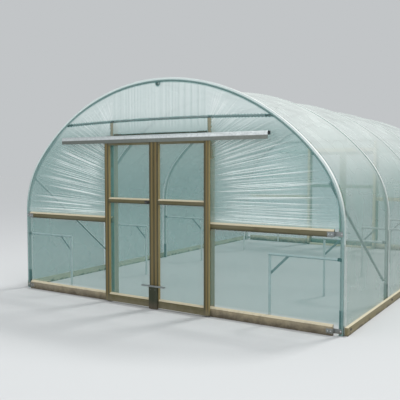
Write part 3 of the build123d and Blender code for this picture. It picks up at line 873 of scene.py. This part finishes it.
class POLYTUNNEL_OT_timber(bpy.types.Operator):
    """Finish the posts, rails, sills, leaves and guide boards in weathered timber"""

    bl_idname = "polytunnel.timber"
    bl_label = "Finish the timber"

    def execute(self, context):
        timber = context.scene.polytunnel_timber
        pale, brown, grey = timber.pale, timber.brown, timber.grey
        mid_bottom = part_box("mid_rails")[0].z
        dress(timber_material("post_timber", timber.post, grey, 0.5, ALONG_Z, splash=0.12), "door_posts")
        dress(timber_material("head_timber", brown, brown, 0.2, ALONG_X), "door_head_rails")
        dress(timber_material("rail_timber", pale, brown, 0.2, ALONG_X, shade_line_from=mid_bottom), "mid_rails")
        dress(timber_material("base_boards", timber.post, grey, 0.5, ALONG_X, splash=0.09), "end_base_rails")
        dress(timber_material("sill_timber", timber.post, grey, 0.3, ALONG_X), "door_sills")
        side = timber_material("side_timber", grey, pale, 0.3, ALONG_Y, splash=0.02, inside_light=0.95)
        dress(side, "side_base_rails")
        low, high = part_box("front_right_door_frame")
        centre = (low.x + high.x) / 2
        half_pane = (high.x - low.x) / 2 - STILE_WIDTH
        latch_z = sum(corner.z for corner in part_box("front_left_door_latch")) / 2
        half_mid_rail = 0.022
        dress(
            leaf_material("leaf_timber", pale, brown, centre, half_pane, latch_z - half_mid_rail),
            "front_left_door_frame",
            "front_right_door_frame",
            "rear_door_frames",
        )
        green, dark_green = (0.045, 0.055, 0.025), (0.02, 0.024, 0.012)
        guide = timber_material("guide_stain", green, dark_green, 0.1, ALONG_Z, splash=0.10, top_light=0.2)
        dress(guide, "door_guides")
        return {"FINISHED"}


class POLYTUNNEL_OT_tapes(bpy.types.Operator):
    """Stick the white foam tape on the outside of each hoop"""

    bl_idname = "polytunnel.tapes"
    bl_label = "Tape the hoops"

    def execute(self, context):
        shape = context.scene.polytunnel_shape
        material = plain_material("white_tape", (0.88, 0.89, 0.88), 0.7, 0.05)
        tube_gap, film_gap = 0.0003, 0.0006
        inner, outer = TUBE_RADIUS + tube_gap, shape.cover_stand_off - film_gap
        half_turn = shape.tape_width / TUBE_RADIUS / 2
        section = [(outer, half_turn * share) for share in (-1, -0.75, -0.4, 0, 0.4, 0.75, 1)]
        section += [(inner, half_turn * share) for share in (1, 0.5, 0, -0.5, -1)]
        tape_on_leg = 0.15
        start = LEG_TOP - tape_on_leg
        steps = 150
        whole = arch_length()
        points, faces = [], []
        for y in HOOP_YS:
            first = len(points)
            for step in range(steps + 1):
                place, normal = arch_point(start + (whole - 2 * start) * step / steps)
                for radius, turn in section:
                    spot = place + normal * radius * cos(turn)
                    points.append((spot.x, y + radius * sin(turn), spot.y))
            count = len(section)
            faces.extend(ring_faces(first, steps + 1, count))
            faces.append(tuple(range(first, first + count)))
            last = first + steps * count
            faces.append(tuple(reversed(range(last, last + count))))
        make_piece("hoop_tapes", points, faces, material, slot="cover_polythene")
        return {"FINISHED"}


def cover_stations():
    """Places along the tunnel where the cover has points, close together by the hoops."""
    low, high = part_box("cover_crown")
    near = (0, 0.010, 0.018, 0.026, 0.040, 0.065)
    far = 0.1
    steps = 20
    offsets = [*near, *(far + (BAY - 2 * far) * step / steps for step in range(steps + 1))]
    offsets += [BAY - distance for distance in reversed(near[1:])]
    ys = [y + offset for y in HOOP_YS[:-1] for offset in offsets]
    return [low.y, *ys, HOOP_YS[-1], high.y]


def hoop_distance(y):
    """Distance along the tunnel from the nearest hoop, 0 past the end hoops."""
    inside = HOOP_YS[0] < y < HOOP_YS[-1]
    return min(abs(y - hoop_y) for hoop_y in HOOP_YS) if inside else 0


def cover_sag(foot):
    """How far the cover draws in half way between two hoops, at a distance up along them."""
    film = bpy.context.scene.polytunnel_film
    bend, _, _, _, sweep = arch_sizes()
    bend_top = LEG_TOP + bend * sweep
    sag = film.wall_sag + (film.bend_sag - film.wall_sag) * ease(LEG_TOP - 0.35, LEG_TOP + 0.35, foot)
    return sag + (film.crown_sag - film.bend_sag) * ease(bend_top, bend_top + 0.7, foot)


def cover_tone(foot, nearest, rail_top):
    """Whiteness of the cover, mostly painted light: whiter higher up, the tape on a hoop whiter up the arch
    with a painted highlight beside it, a clear taut strip beside each hoop that stands in as a painted
    shadow line, and clear on the base rail.
    """
    tape = 0.021
    shadow_line_at, shadow_line_width = 0.037, 0.014
    glow_reach = 0.10
    # Painted light: the cover whiter higher up, where light from above falls on it
    high = 0.72 * ease(LEG_TOP + 0.08, LEG_TOP + 0.85, foot)
    high += 0.28 * ease(LEG_TOP + 0.5, LEG_TOP + 1.5, foot)
    white = 0.60 * high
    # Painted light: the tape whiter up the arch, where light from above falls on it
    line = 0.30 + 0.65 * ease(LEG_TOP - 0.1, LEG_TOP + 0.6, foot)
    band = exp(-((nearest / tape) ** 4))
    # Painted highlight beside the tape, up the arch
    tape_highlight = 0.35 * high * exp(-((nearest / glow_reach) ** 2))
    # A clear, taut strip beside each hoop that reads as a painted shadow line
    clear = exp(-(((nearest - shadow_line_at) / shadow_line_width) ** 2))
    tone = white + (line - white) * max(band, tape_highlight) - 1.3 * clear
    return tone - (tone + 1.0) * ease(rail_top + 0.02, rail_top - 0.01, foot)


class POLYTUNNEL_OT_cover(bpy.types.Operator):
    """Hang the cover over the hoops, drawn in between them"""

    bl_idname = "polytunnel.cover"
    bl_label = "Hang the cover"

    def execute(self, context):
        shape = context.scene.polytunnel_shape
        film = context.scene.polytunnel_film
        whole = arch_length()
        rail_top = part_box("side_base_rails")[1].z
        rows = 230
        half_rest = 0.012
        stations = [(y, hoop_distance(y)) for y in cover_stations()]
        rng = random.Random(11)
        ranges = ((1.2, 4.5), (0.6, 2.6), (0, tau), (0, tau), (0.4, 1))
        waves = [[rng.uniform(low, high) for low, high in ranges] for _ in range(9)]
        points, places, haze = [], [], []
        for row in range(rows + 1):
            along = whole * row / rows
            place, normal = arch_point(along)
            foot = min(along, whole - along)
            held = ease(rail_top, rail_top + 0.25, foot)
            sag = cover_sag(foot)
            for y, nearest in stations:
                share = max(nearest - half_rest, 0) / (BAY / 2)
                draw = 1 - (1 - share) ** 2
                wave = sum(
                    size * sin(long * foot * 2.2 + phase) * sin(tau * wide * y / BAY + turn)
                    for long, wide, phase, turn, size in waves
                )
                ripple = 0.0003 * wave * ease(0.02, 0.3, nearest)
                out = shape.cover_stand_off - held * (sag * draw - ripple)
                points.append((place.x + normal.x * out, y, place.y + normal.y * out))
                places.append((along, y))
                haze.append(cover_tone(foot, nearest, rail_top))
        faces = grid_faces(rows + 1, len(stations))
        colours = (film.cover_tint, film.cover_bloom)
        material = film_material(
            "cover_film", *colours, clear_alpha=0.60, bloom_alpha=0.93, streaks=0.02, dust=0.10
        )
        looks = {"places": places, "haze": haze, "slot": "cover_polythene"}
        cover = make_piece("cover_sheet", points, faces, material, **looks)
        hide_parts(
            "cover_left_wall", "cover_left_bend", "cover_crown", "cover_right_bend", "cover_right_wall"
        )
        return {"FINISHED"}


def pleat_field(rng, count, depth):
    """Random pleats: place across the fan, width, height, where they start and end, and drift."""
    field = []
    for number in range(count):
        middle = (number + rng.uniform(-0.45, 0.45)) / count
        field.append(
            (
                middle,
                rng.uniform(0.0022, 0.0043),
                depth * rng.uniform(0.25, 1.0) ** 0.7,
                rng.uniform(0.0, 0.2),
                rng.uniform(0.55, 1.05),
                rng.uniform(-0.02, 0.02),
            )
        )
    return field


def pleats_near(field, across):
    """The pleats that can reach a place across the fan."""
    return [pleat for pleat in field if abs(across - pleat[0]) < 4 * pleat[1] + abs(pleat[5])]


def pleat_height(field, across, along):
    """Height and sharpness of the pleats at a place across and along the fan."""
    height, crest = 0.0, 0.0
    for middle, width, tall, start, end, drift in field:
        off = (across - middle - drift * along) / width
        reach = ease(start, start + 0.12, along) * ease(end + 0.12, end - 0.25, along)
        bell = exp(-off * off)
        height += tall * reach * (bell - 0.35 * exp(-((abs(off) - 2.0) ** 2)))
        crest += reach * bell * tall
    return height, crest


# Distances left to the rim at the last steps outward, which follow the hoop's tube
RIM_STEPS = (0.062, 0.050, 0.042, 0.031, 0.026, 0.021, 0.011, 0.0)


def way_out(step, steps, length):
    """Share of the way out to the rim at a step, and the distance left to it."""
    plain = steps - len(RIM_STEPS)
    if step < plain:
        share = (step / plain) ** 0.9 * (1 - RIM_STEPS[0] / length)
    else:
        share = 1 - RIM_STEPS[step - plain] / length
    return share, (1 - share) * length


def rim_haze(haze, left, z):
    """Whiteness at the rim: the tape over the tube's outer half, whiter higher up as painted light, and
    clear over its inner half.
    """
    tape = 0.25 + 0.6 * ease(LEG_TOP - 0.1, LEG_TOP + 0.7, z)
    return haze * ease(0.041, 0.056, left) + tape * ease(0.027, 0.021, left)


class EndFilm:
    """The polythene mesh of one end wall, added patch by patch around its doorway."""

    def __init__(self, end):
        wall_low, wall_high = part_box(end + "_film_top")
        post_low, post_high = islands("door_posts")[-1]
        bar_low, bar_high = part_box("head_bars")
        bar_tube = 0.027
        cover_gap = 0.001
        self.outward = -1 if end == "front" else 1
        self.veil = 0.24 if end == "front" else 0.40
        self.plane = (wall_low.y + wall_high.y) / 2
        self.opening_top = wall_low.z
        self.jamb, self.post_out, self.post_top = post_low.x, post_high.x, post_high.z
        self.mid_bottom, self.mid_top = (corner.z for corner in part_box("mid_rails"))
        self.base_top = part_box("end_base_rails")[1].z
        self.head_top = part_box("door_head_rails")[1].z
        self.bar_half = bar_high.x
        self.bar_z = bar_high.z - bar_tube / 2
        self.bar_fall = bar_high.z - bar_low.z - bar_tube
        self.ridge_z = sum(corner.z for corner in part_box("ridge_tube")) / 2
        self.grow = bpy.context.scene.polytunnel_shape.cover_stand_off - cover_gap
        self.points, self.faces, self.places, self.haze = [], [], [], []

    def add_patch(self, rows, columns, point_at):
        """A grid of film from a function that gives each point's place, pattern place and whiteness."""
        first = len(self.points)
        for row in range(rows):
            for column in range(columns):
                (x, z, out), place, tone = point_at(row / (rows - 1), column, columns)
                self.points.append((x, self.plane + self.outward * out, z))
                self.places.append(place)
                self.haze.append(tone)
        self.faces.extend(grid_faces(rows, columns, first))

    def edge_at(self, along):
        """The rim of the end wall at a distance along the hoop."""
        place, normal = arch_point(along)
        return abs(place.x + normal.x * self.grow), place.y + normal.y * self.grow

    def tone_at(self, x, z):
        """Whiteness above the mid rail, clear where the film touches steel or timber."""
        tone = self.veil + 0.60 * ease(1.75, 2.25, z)
        tone += 0.25 * exp(-(((z - self.mid_top - 0.03) / 0.045) ** 2))
        bar_here = self.bar_z - self.bar_fall * (x / self.bar_half) ** 2
        on_post = self.jamb < abs(x) < self.post_out and z < bar_here
        on_head = abs(x) < self.jamb and z < self.head_top
        on_bar = exp(-(((z - bar_here) / 0.012) ** 4))
        on_ridge = exp(-((hypot(x, z - self.ridge_z) / 0.03) ** 4))
        touch = 1.0 if on_post or on_head else max(on_bar, on_ridge)
        return tone - (tone + 0.5) * touch

    def add_low_panel(self, side, swell):
        """The nearly flat film beside the doorway, from the ground up to the top of the mid rail."""
        width = HOOP_X + self.grow - self.jamb

        def point_at(up, step, steps):
            across, left = way_out(step, steps, width)
            x = self.jamb + width * across
            z = self.mid_top * up
            calm = ease(0, 0.12, across) * ease(1, 0.88, across) * ease(0, 0.12, up) * ease(1, 0.86, up)
            out = 0.0035 * calm * sin(3.1 * pi * x + swell[0]) * sin(2.3 * pi * z + swell[1])
            out += 0.0012 * calm * sin(tau * (x * 3.3 + 0.5 * z) + swell[2])
            on_base = ease(self.base_top + 0.012, self.base_top - 0.012, z)
            on_mid = ease(self.mid_bottom - 0.012, self.mid_bottom + 0.012, z)
            tone = self.veil - 0.29 - 0.9 * max(on_base, on_mid)
            return (side * x, z, out), (z + 20 * side, x), rim_haze(tone, left, z)

        self.add_patch(40, 30, point_at)

    def add_fan(self, side, droop, pleats, fine_pleats):
        """The pleated film that fans out from the door post to the hoop."""
        depth = bpy.context.scene.polytunnel_film.pleat_depth
        bend, _, _, crown, sweep = arch_sizes()
        jamb_along = LEG_TOP + bend * sweep + crown * (acos(self.jamb / (crown + self.grow)) - sweep)

        def point_at(across, step, steps):
            post_z = self.mid_top + (self.post_top - self.mid_top) * across
            edge_x, edge_z = self.edge_at(self.mid_top + (jamb_along - self.mid_top) * across**droop)
            share, left = way_out(step, steps, hypot(edge_x - self.jamb, edge_z - post_z))
            x = self.jamb + (edge_x - self.jamb) * share
            z = post_z + (edge_z - post_z) * share
            height, crest = pleat_height(pleats_near(pleats, across), across, share)
            more, more_crest = pleat_height(pleats_near(fine_pleats, across), across, share)
            clear = ease(self.post_out, self.post_out + 0.10, x) * ease(0.05, 0.12, left)
            calm = ease(0.0, 0.03, across) * ease(1.0, 0.93, across)
            quiet = 1 - 0.8 * ease(1.75, 2.0, z)
            out = (height + more) * clear * calm * quiet
            # Pleat crests whiter: partly the creased, doubled film's own haze, partly a painted highlight of
            # light on the crests
            tone = 0.88 * (crest + 0.9 * more_crest) / depth
            tone *= calm * ease(0.0, 0.04, share) * ease(1.0, 0.65, share) * quiet
            tone = rim_haze(self.tone_at(x, z) + tone, left, z)
            return (side * x, z, out), (3 * across + 40 * side, 3 * share), tone

        self.add_patch(720, 36, point_at)

    def add_top_panel(self, waves):
        """The film over the doorway."""
        _, _, crown_z, crown, _ = arch_sizes()

        def point_at(across, step, steps):
            x = self.jamb * (2 * across - 1)
            edge_z = crown_z + sqrt((crown + self.grow) ** 2 - x * x)
            up, left = way_out(step, steps, edge_z - self.opening_top)
            z = self.opening_top + (edge_z - self.opening_top) * up
            calm = ease(0.1, 0.3, up) * ease(1.0, 0.9, up) * ease(0, 0.08, across) * ease(1, 0.92, across)
            line = sum(size * sin(tau * pitch * x + phase) for pitch, phase, size in waves)
            tone = self.tone_at(x, z) + 0.018 * line * ease(0.1, 0.3, up) * ease(1.0, 0.8, up)
            return (x, z, 0.0007 * calm * line), (z, x), rim_haze(tone, left, z)

        self.add_patch(130, 64, point_at)


def end_film(end, seed, droops):
    """One end wall's polythene, with a droop for each of its fans: over 1, the pleats run lower outward."""
    settings = bpy.context.scene.polytunnel_film
    film = EndFilm(end)
    rng = random.Random(seed)
    for side, droop in zip((-1, 1), droops):
        pleats = pleat_field(rng, settings.pleat_count, settings.pleat_depth)
        fine_pleats = pleat_field(rng, settings.pleat_count * 2, settings.pleat_depth * 0.35)
        swell = [rng.uniform(0, tau) for _ in range(4)]
        film.add_low_panel(side, swell)
        film.add_fan(side, droop, pleats, fine_pleats)
    film.add_top_panel([(rng.uniform(6, 26), rng.uniform(0, tau), rng.uniform(0.3, 1)) for _ in range(9)])
    return film


def flat_area(points, faces):
    """Area of a mesh seen square on, along the tunnel."""
    area = 0.0
    for face in faces:
        corners = [points[index] for index in face]
        turned = corners[1:] + corners[:1]
        area += abs(sum(a[0] * b[2] - b[0] * a[2] for a, b in zip(corners, turned))) / 2
    return area


class POLYTUNNEL_OT_end_sheets(bpy.types.Operator):
    """Fit the pleated polythene of both end walls"""

    bl_idname = "polytunnel.end_sheets"
    bl_label = "Fit the end sheets"

    def execute(self, context):
        film = context.scene.polytunnel_film
        colours = (film.tint, film.bloom)
        material = film_material("end_film", *colours, clear_alpha=0.36, bloom_alpha=0.88, streaks=0.03)
        for end, seed, droops in (("front", 5, (1.08, 1.38)), ("rear", 23, (1.2, 1.2))):
            mesh = end_film(end, seed, droops)
            looks = {"places": mesh.places, "haze": mesh.haze, "slot": "end_polythene"}
            sheet = make_piece(end + "_end_sheet", mesh.points, mesh.faces, material, **looks)
            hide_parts(end + "_film_left", end + "_film_right", end + "_film_top")
            flat_area(mesh.points, mesh.faces)
        return {"FINISHED"}


class POLYTUNNEL_OT_leaf_sheets(bpy.types.Operator):
    """Fit the polythene of the door leaves"""

    bl_idname = "polytunnel.leaf_sheets"
    bl_label = "Fit the leaf sheets"

    def execute(self, context):
        film = context.scene.polytunnel_film
        colours = (film.tint, film.bloom)
        material = film_material("leaf_film", *colours, clear_alpha=0.38, bloom_alpha=0.80, streaks=0.05)
        leaves = [
            ("front_left_leaf_sheet", "front_left_door_film", "front_left_door", 0),
            ("front_right_leaf_sheet", "front_right_door_film", "front_right_door", 0),
            ("rear_left_leaf_sheet", "rear_door_films", TUNNEL, 0),
            ("rear_right_leaf_sheet", "rear_door_films", TUNNEL, 1),
        ]
        for number, (name, node, body, which) in enumerate(leaves):
            low, high = islands(node)[which]
            rng = random.Random(40 + number)
            waves = [(rng.uniform(0.6, 3.0), rng.uniform(0, tau)) for _ in range(5)]
            rows, columns = 40, 70
            plane = (low.y + high.y) / 2
            points, places = [], []
            for row in range(rows):
                for column in range(columns):
                    across, up = row / (rows - 1), column / (columns - 1)
                    x = low.x + (high.x - low.x) * across
                    z = low.z + (high.z - low.z) * up
                    calm = ease(0, 0.1, across) * ease(1, 0.9, across)
                    calm *= ease(0, 0.05, up) * ease(1, 0.95, up)
                    out = 0
                    for pitch, phase in waves:
                        out += sin(tau * pitch * x + phase) * sin(tau * 0.4 * pitch * z + phase)
                    points.append((x, plane + 0.0004 * calm * out, z))
                    places.append((z, x))
            faces = grid_faces(rows, columns)
            sheet = make_piece(name, points, faces, material, body, places=places, slot="end_polythene")
            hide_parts(node)
        return {"FINISHED"}


def add_head(points, faces, centre, out, radius, tall):
    """A domed bolt head on a face that looks along Y, out giving which way."""
    sides = 14
    dome = ((1.0, 0.0), (1.0, 0.35), (0.82, 0.72), (0.45, 0.95))
    first = len(points)
    for reach, rise in dome:
        y = centre[1] + out * tall * rise
        for corner in range(sides):
            turn = tau * corner / sides * out
            across, up = radius * reach * cos(turn), -radius * reach * sin(turn)
            points.append((centre[0] + across, y, centre[2] + up))
    faces.extend(ring_faces(first, len(dome), sides))
    faces.append(tuple(range(first + 3 * sides, first + 4 * sides)))
    faces.append(tuple(reversed(range(first, first + sides))))


class POLYTUNNEL_OT_fixings(bpy.types.Operator):
    """Screw down the straps of the mid rails and the guide boards"""

    bl_idname = "polytunnel.fixings"
    bl_label = "Add the fixings"

    def execute(self, context):
        steel = context.scene.polytunnel_steel
        strap_thickness = 0.0025
        rails = islands("mid_rails")
        rail_end = rails[-1][1].x
        points, faces = [], []
        for low, high in islands("rail_straps"):
            front = low.y < 0
            out = -1 if front else 1
            face = low.y if front else high.y
            side = 1 if low.x > 0 else -1
            middle = (low.z + high.z) / 2
            back = rails[0][1].y * (1 if front else -1)
            for inset in (0.016, 0.046):
                add_head(points, faces, (side * (rail_end - inset), face, middle), out, 0.0055, 0.003)
            bolt_place = (side * HOOP_X, back + out * strap_thickness, middle)
            add_head(points, faces, bolt_place, out, 0.0085, 0.006)
        make_piece("strap_fixings", points, faces, zinc_material("bolt_zinc", steel.zinc, 300.0, 0.4))
        points, faces = [], []
        for low, high in islands("door_guides"):
            out = -1 if low.y < 0 else 1
            face = low.y if low.y < 0 else high.y
            for x in (-0.03, 0.03):
                add_head(points, faces, (x, face, high.z - 0.03), out, 0.006, 0.003)
        make_piece("guide_fixings", points, faces, zinc_material("screw_zinc", steel.fitting, 300.0, 0.6))
        return {"FINISHED"}


def add_lamp(data, place, direction):
    """A lamp at a place that shines in a direction."""
    lamp = bpy.data.objects.new(data.name, data)
    lamp.location = place
    lamp.rotation_euler = direction.to_track_quat("-Z", "Y").to_euler()
    bpy.context.scene.collection.objects.link(lamp)


class POLYTUNNEL_OT_stage(bpy.types.Operator):
    """Set up the floor, backdrop, lamps and camera"""

    bl_idname = "polytunnel.stage"
    bl_label = "Set the stage"

    def execute(self, context):
        stage = context.scene.polytunnel_stage
        scene = context.scene
        scene.view_settings.view_transform = "Standard"

        camera_data = bpy.data.cameras.new("camera")
        camera_data.lens = stage.lens
        camera_data.sensor_width = 36
        camera_data.clip_end = 200
        camera = bpy.data.objects.new("camera", camera_data)
        camera.location = stage.camera_place
        camera.rotation_euler = (pi / 2 - stage.camera_dip, 0, stage.camera_turn)
        scene.collection.objects.link(camera)
        scene.camera = camera

        bpy.ops.mesh.primitive_plane_add(size=160, location=(0, 0, -0.001))
        floor = context.active_object
        floor.name = "floor"
        material, tree, shader = start_material("studio_floor")
        tone = remap(tree, noise(tree, object_place(tree), 0.6, 3, 0.5), 0.3, 0.7, 0.0, 0.08)
        colour = mix_colour(tree, tone, stage.floor, [0.9 * value for value in stage.floor])
        feed(tree, shader, Base_Color=colour, Roughness=0.95, Specular_IOR_Level=0.1)
        floor.data.materials.append(material)

        sun_data = bpy.data.lights.new("rear_sun", "SUN")
        sun_data.energy = 1.7
        sun_data.angle = radians(12)
        add_lamp(sun_data, (0, 0, 0), Vector((-0.25, -0.70, -1.0)))
        lamps = (
            ("top_softbox", (1.0, -2.0, 8.0), (0, 0, 1), (9, 9), 300),
            ("right_fill", (8.5, -8.5, 3.6), (-1.0, -1.0, 0.8), (6, 4), 150),
            ("front_fill", (-3.0, -12.0, 4.0), (0, -2, 1), (7, 4), 100),
        )
        for name, place, target, size, power in lamps:
            lamp_data = bpy.data.lights.new(name, "AREA")
            lamp_data.shape = "RECTANGLE"
            lamp_data.size, lamp_data.size_y = size
            lamp_data.energy = power
            add_lamp(lamp_data, place, Vector(target) - Vector(place))

        world = bpy.data.worlds.new("studio")
        scene.world = world
        world.use_nodes = True
        tree = world.node_tree
        tree.nodes.clear()
        path = tree.nodes.new("ShaderNodeLightPath")
        seen = math_node(tree, "MAXIMUM", path.outputs["Is Camera Ray"], path.outputs["Is Glossy Ray"])
        seen = math_node(tree, "MAXIMUM", seen, path.outputs["Is Transmission Ray"])
        light = add_node(tree, "ShaderNodeBackground", Color=(0.93, 0.96, 1.0), Strength=0.5).outputs[0]
        back = add_node(tree, "ShaderNodeBackground", Color=stage.backdrop, Strength=1.0).outputs[0]
        both = add_node(tree, "ShaderNodeMixShader", _0=seen, _1=light, _2=back)
        output = tree.nodes.new("ShaderNodeOutputWorld")
        tree.links.new(both.outputs[0], output.inputs["Surface"])
        return {"FINISHED"}


class POLYTUNNEL_PT_dressing(bpy.types.Panel):
    """Lists the sizes, the colours and the operators"""

    bl_idname = "POLYTUNNEL_PT_dressing"
    bl_label = "Polytunnel"
    bl_space_type = "VIEW_3D"
    bl_region_type = "UI"
    bl_category = "Polytunnel"

    def draw(self, context):
        layout = self.layout
        for group in GROUPS:
            settings = getattr(context.scene, GROUPS[group])
            box = layout.box()
            for name in group.__annotations__:
                box.prop(settings, name)
        for operator in OPERATORS:
            layout.operator(operator.bl_idname)


GROUPS = {
    PolytunnelShape: "polytunnel_shape",
    PolytunnelFilm: "polytunnel_film",
    PolytunnelTimber: "polytunnel_timber",
    PolytunnelSteel: "polytunnel_steel",
    PolytunnelStage: "polytunnel_stage",
}
OPERATORS = (
    POLYTUNNEL_OT_stage,
    POLYTUNNEL_OT_steel,
    POLYTUNNEL_OT_timber,
    POLYTUNNEL_OT_tapes,
    POLYTUNNEL_OT_cover,
    POLYTUNNEL_OT_end_sheets,
    POLYTUNNEL_OT_leaf_sheets,
    POLYTUNNEL_OT_fixings,
)


def register():
    """Registers the classes and gives the scene its settings."""
    for group, name in GROUPS.items():
        bpy.utils.register_class(group)
        setattr(bpy.types.Scene, name, PointerProperty(type=group))
    for operator in (*OPERATORS, POLYTUNNEL_PT_dressing):
        bpy.utils.register_class(operator)


def unregister():
    """Takes the settings and the classes away again."""
    for operator in reversed((*OPERATORS, POLYTUNNEL_PT_dressing)):
        bpy.utils.unregister_class(operator)
    for group, name in GROUPS.items():
        delattr(bpy.types.Scene, name)
        bpy.utils.unregister_class(group)


def main():
    """Dresses the tunnel."""
    register()
    bpy.ops.polytunnel.stage()
    bpy.ops.polytunnel.steel()
    bpy.ops.polytunnel.timber()
    bpy.ops.polytunnel.tapes()
    bpy.ops.polytunnel.cover()
    bpy.ops.polytunnel.end_sheets()
    bpy.ops.polytunnel.leaf_sheets()
    bpy.ops.polytunnel.fixings()


if __name__ == "__main__":
    main()
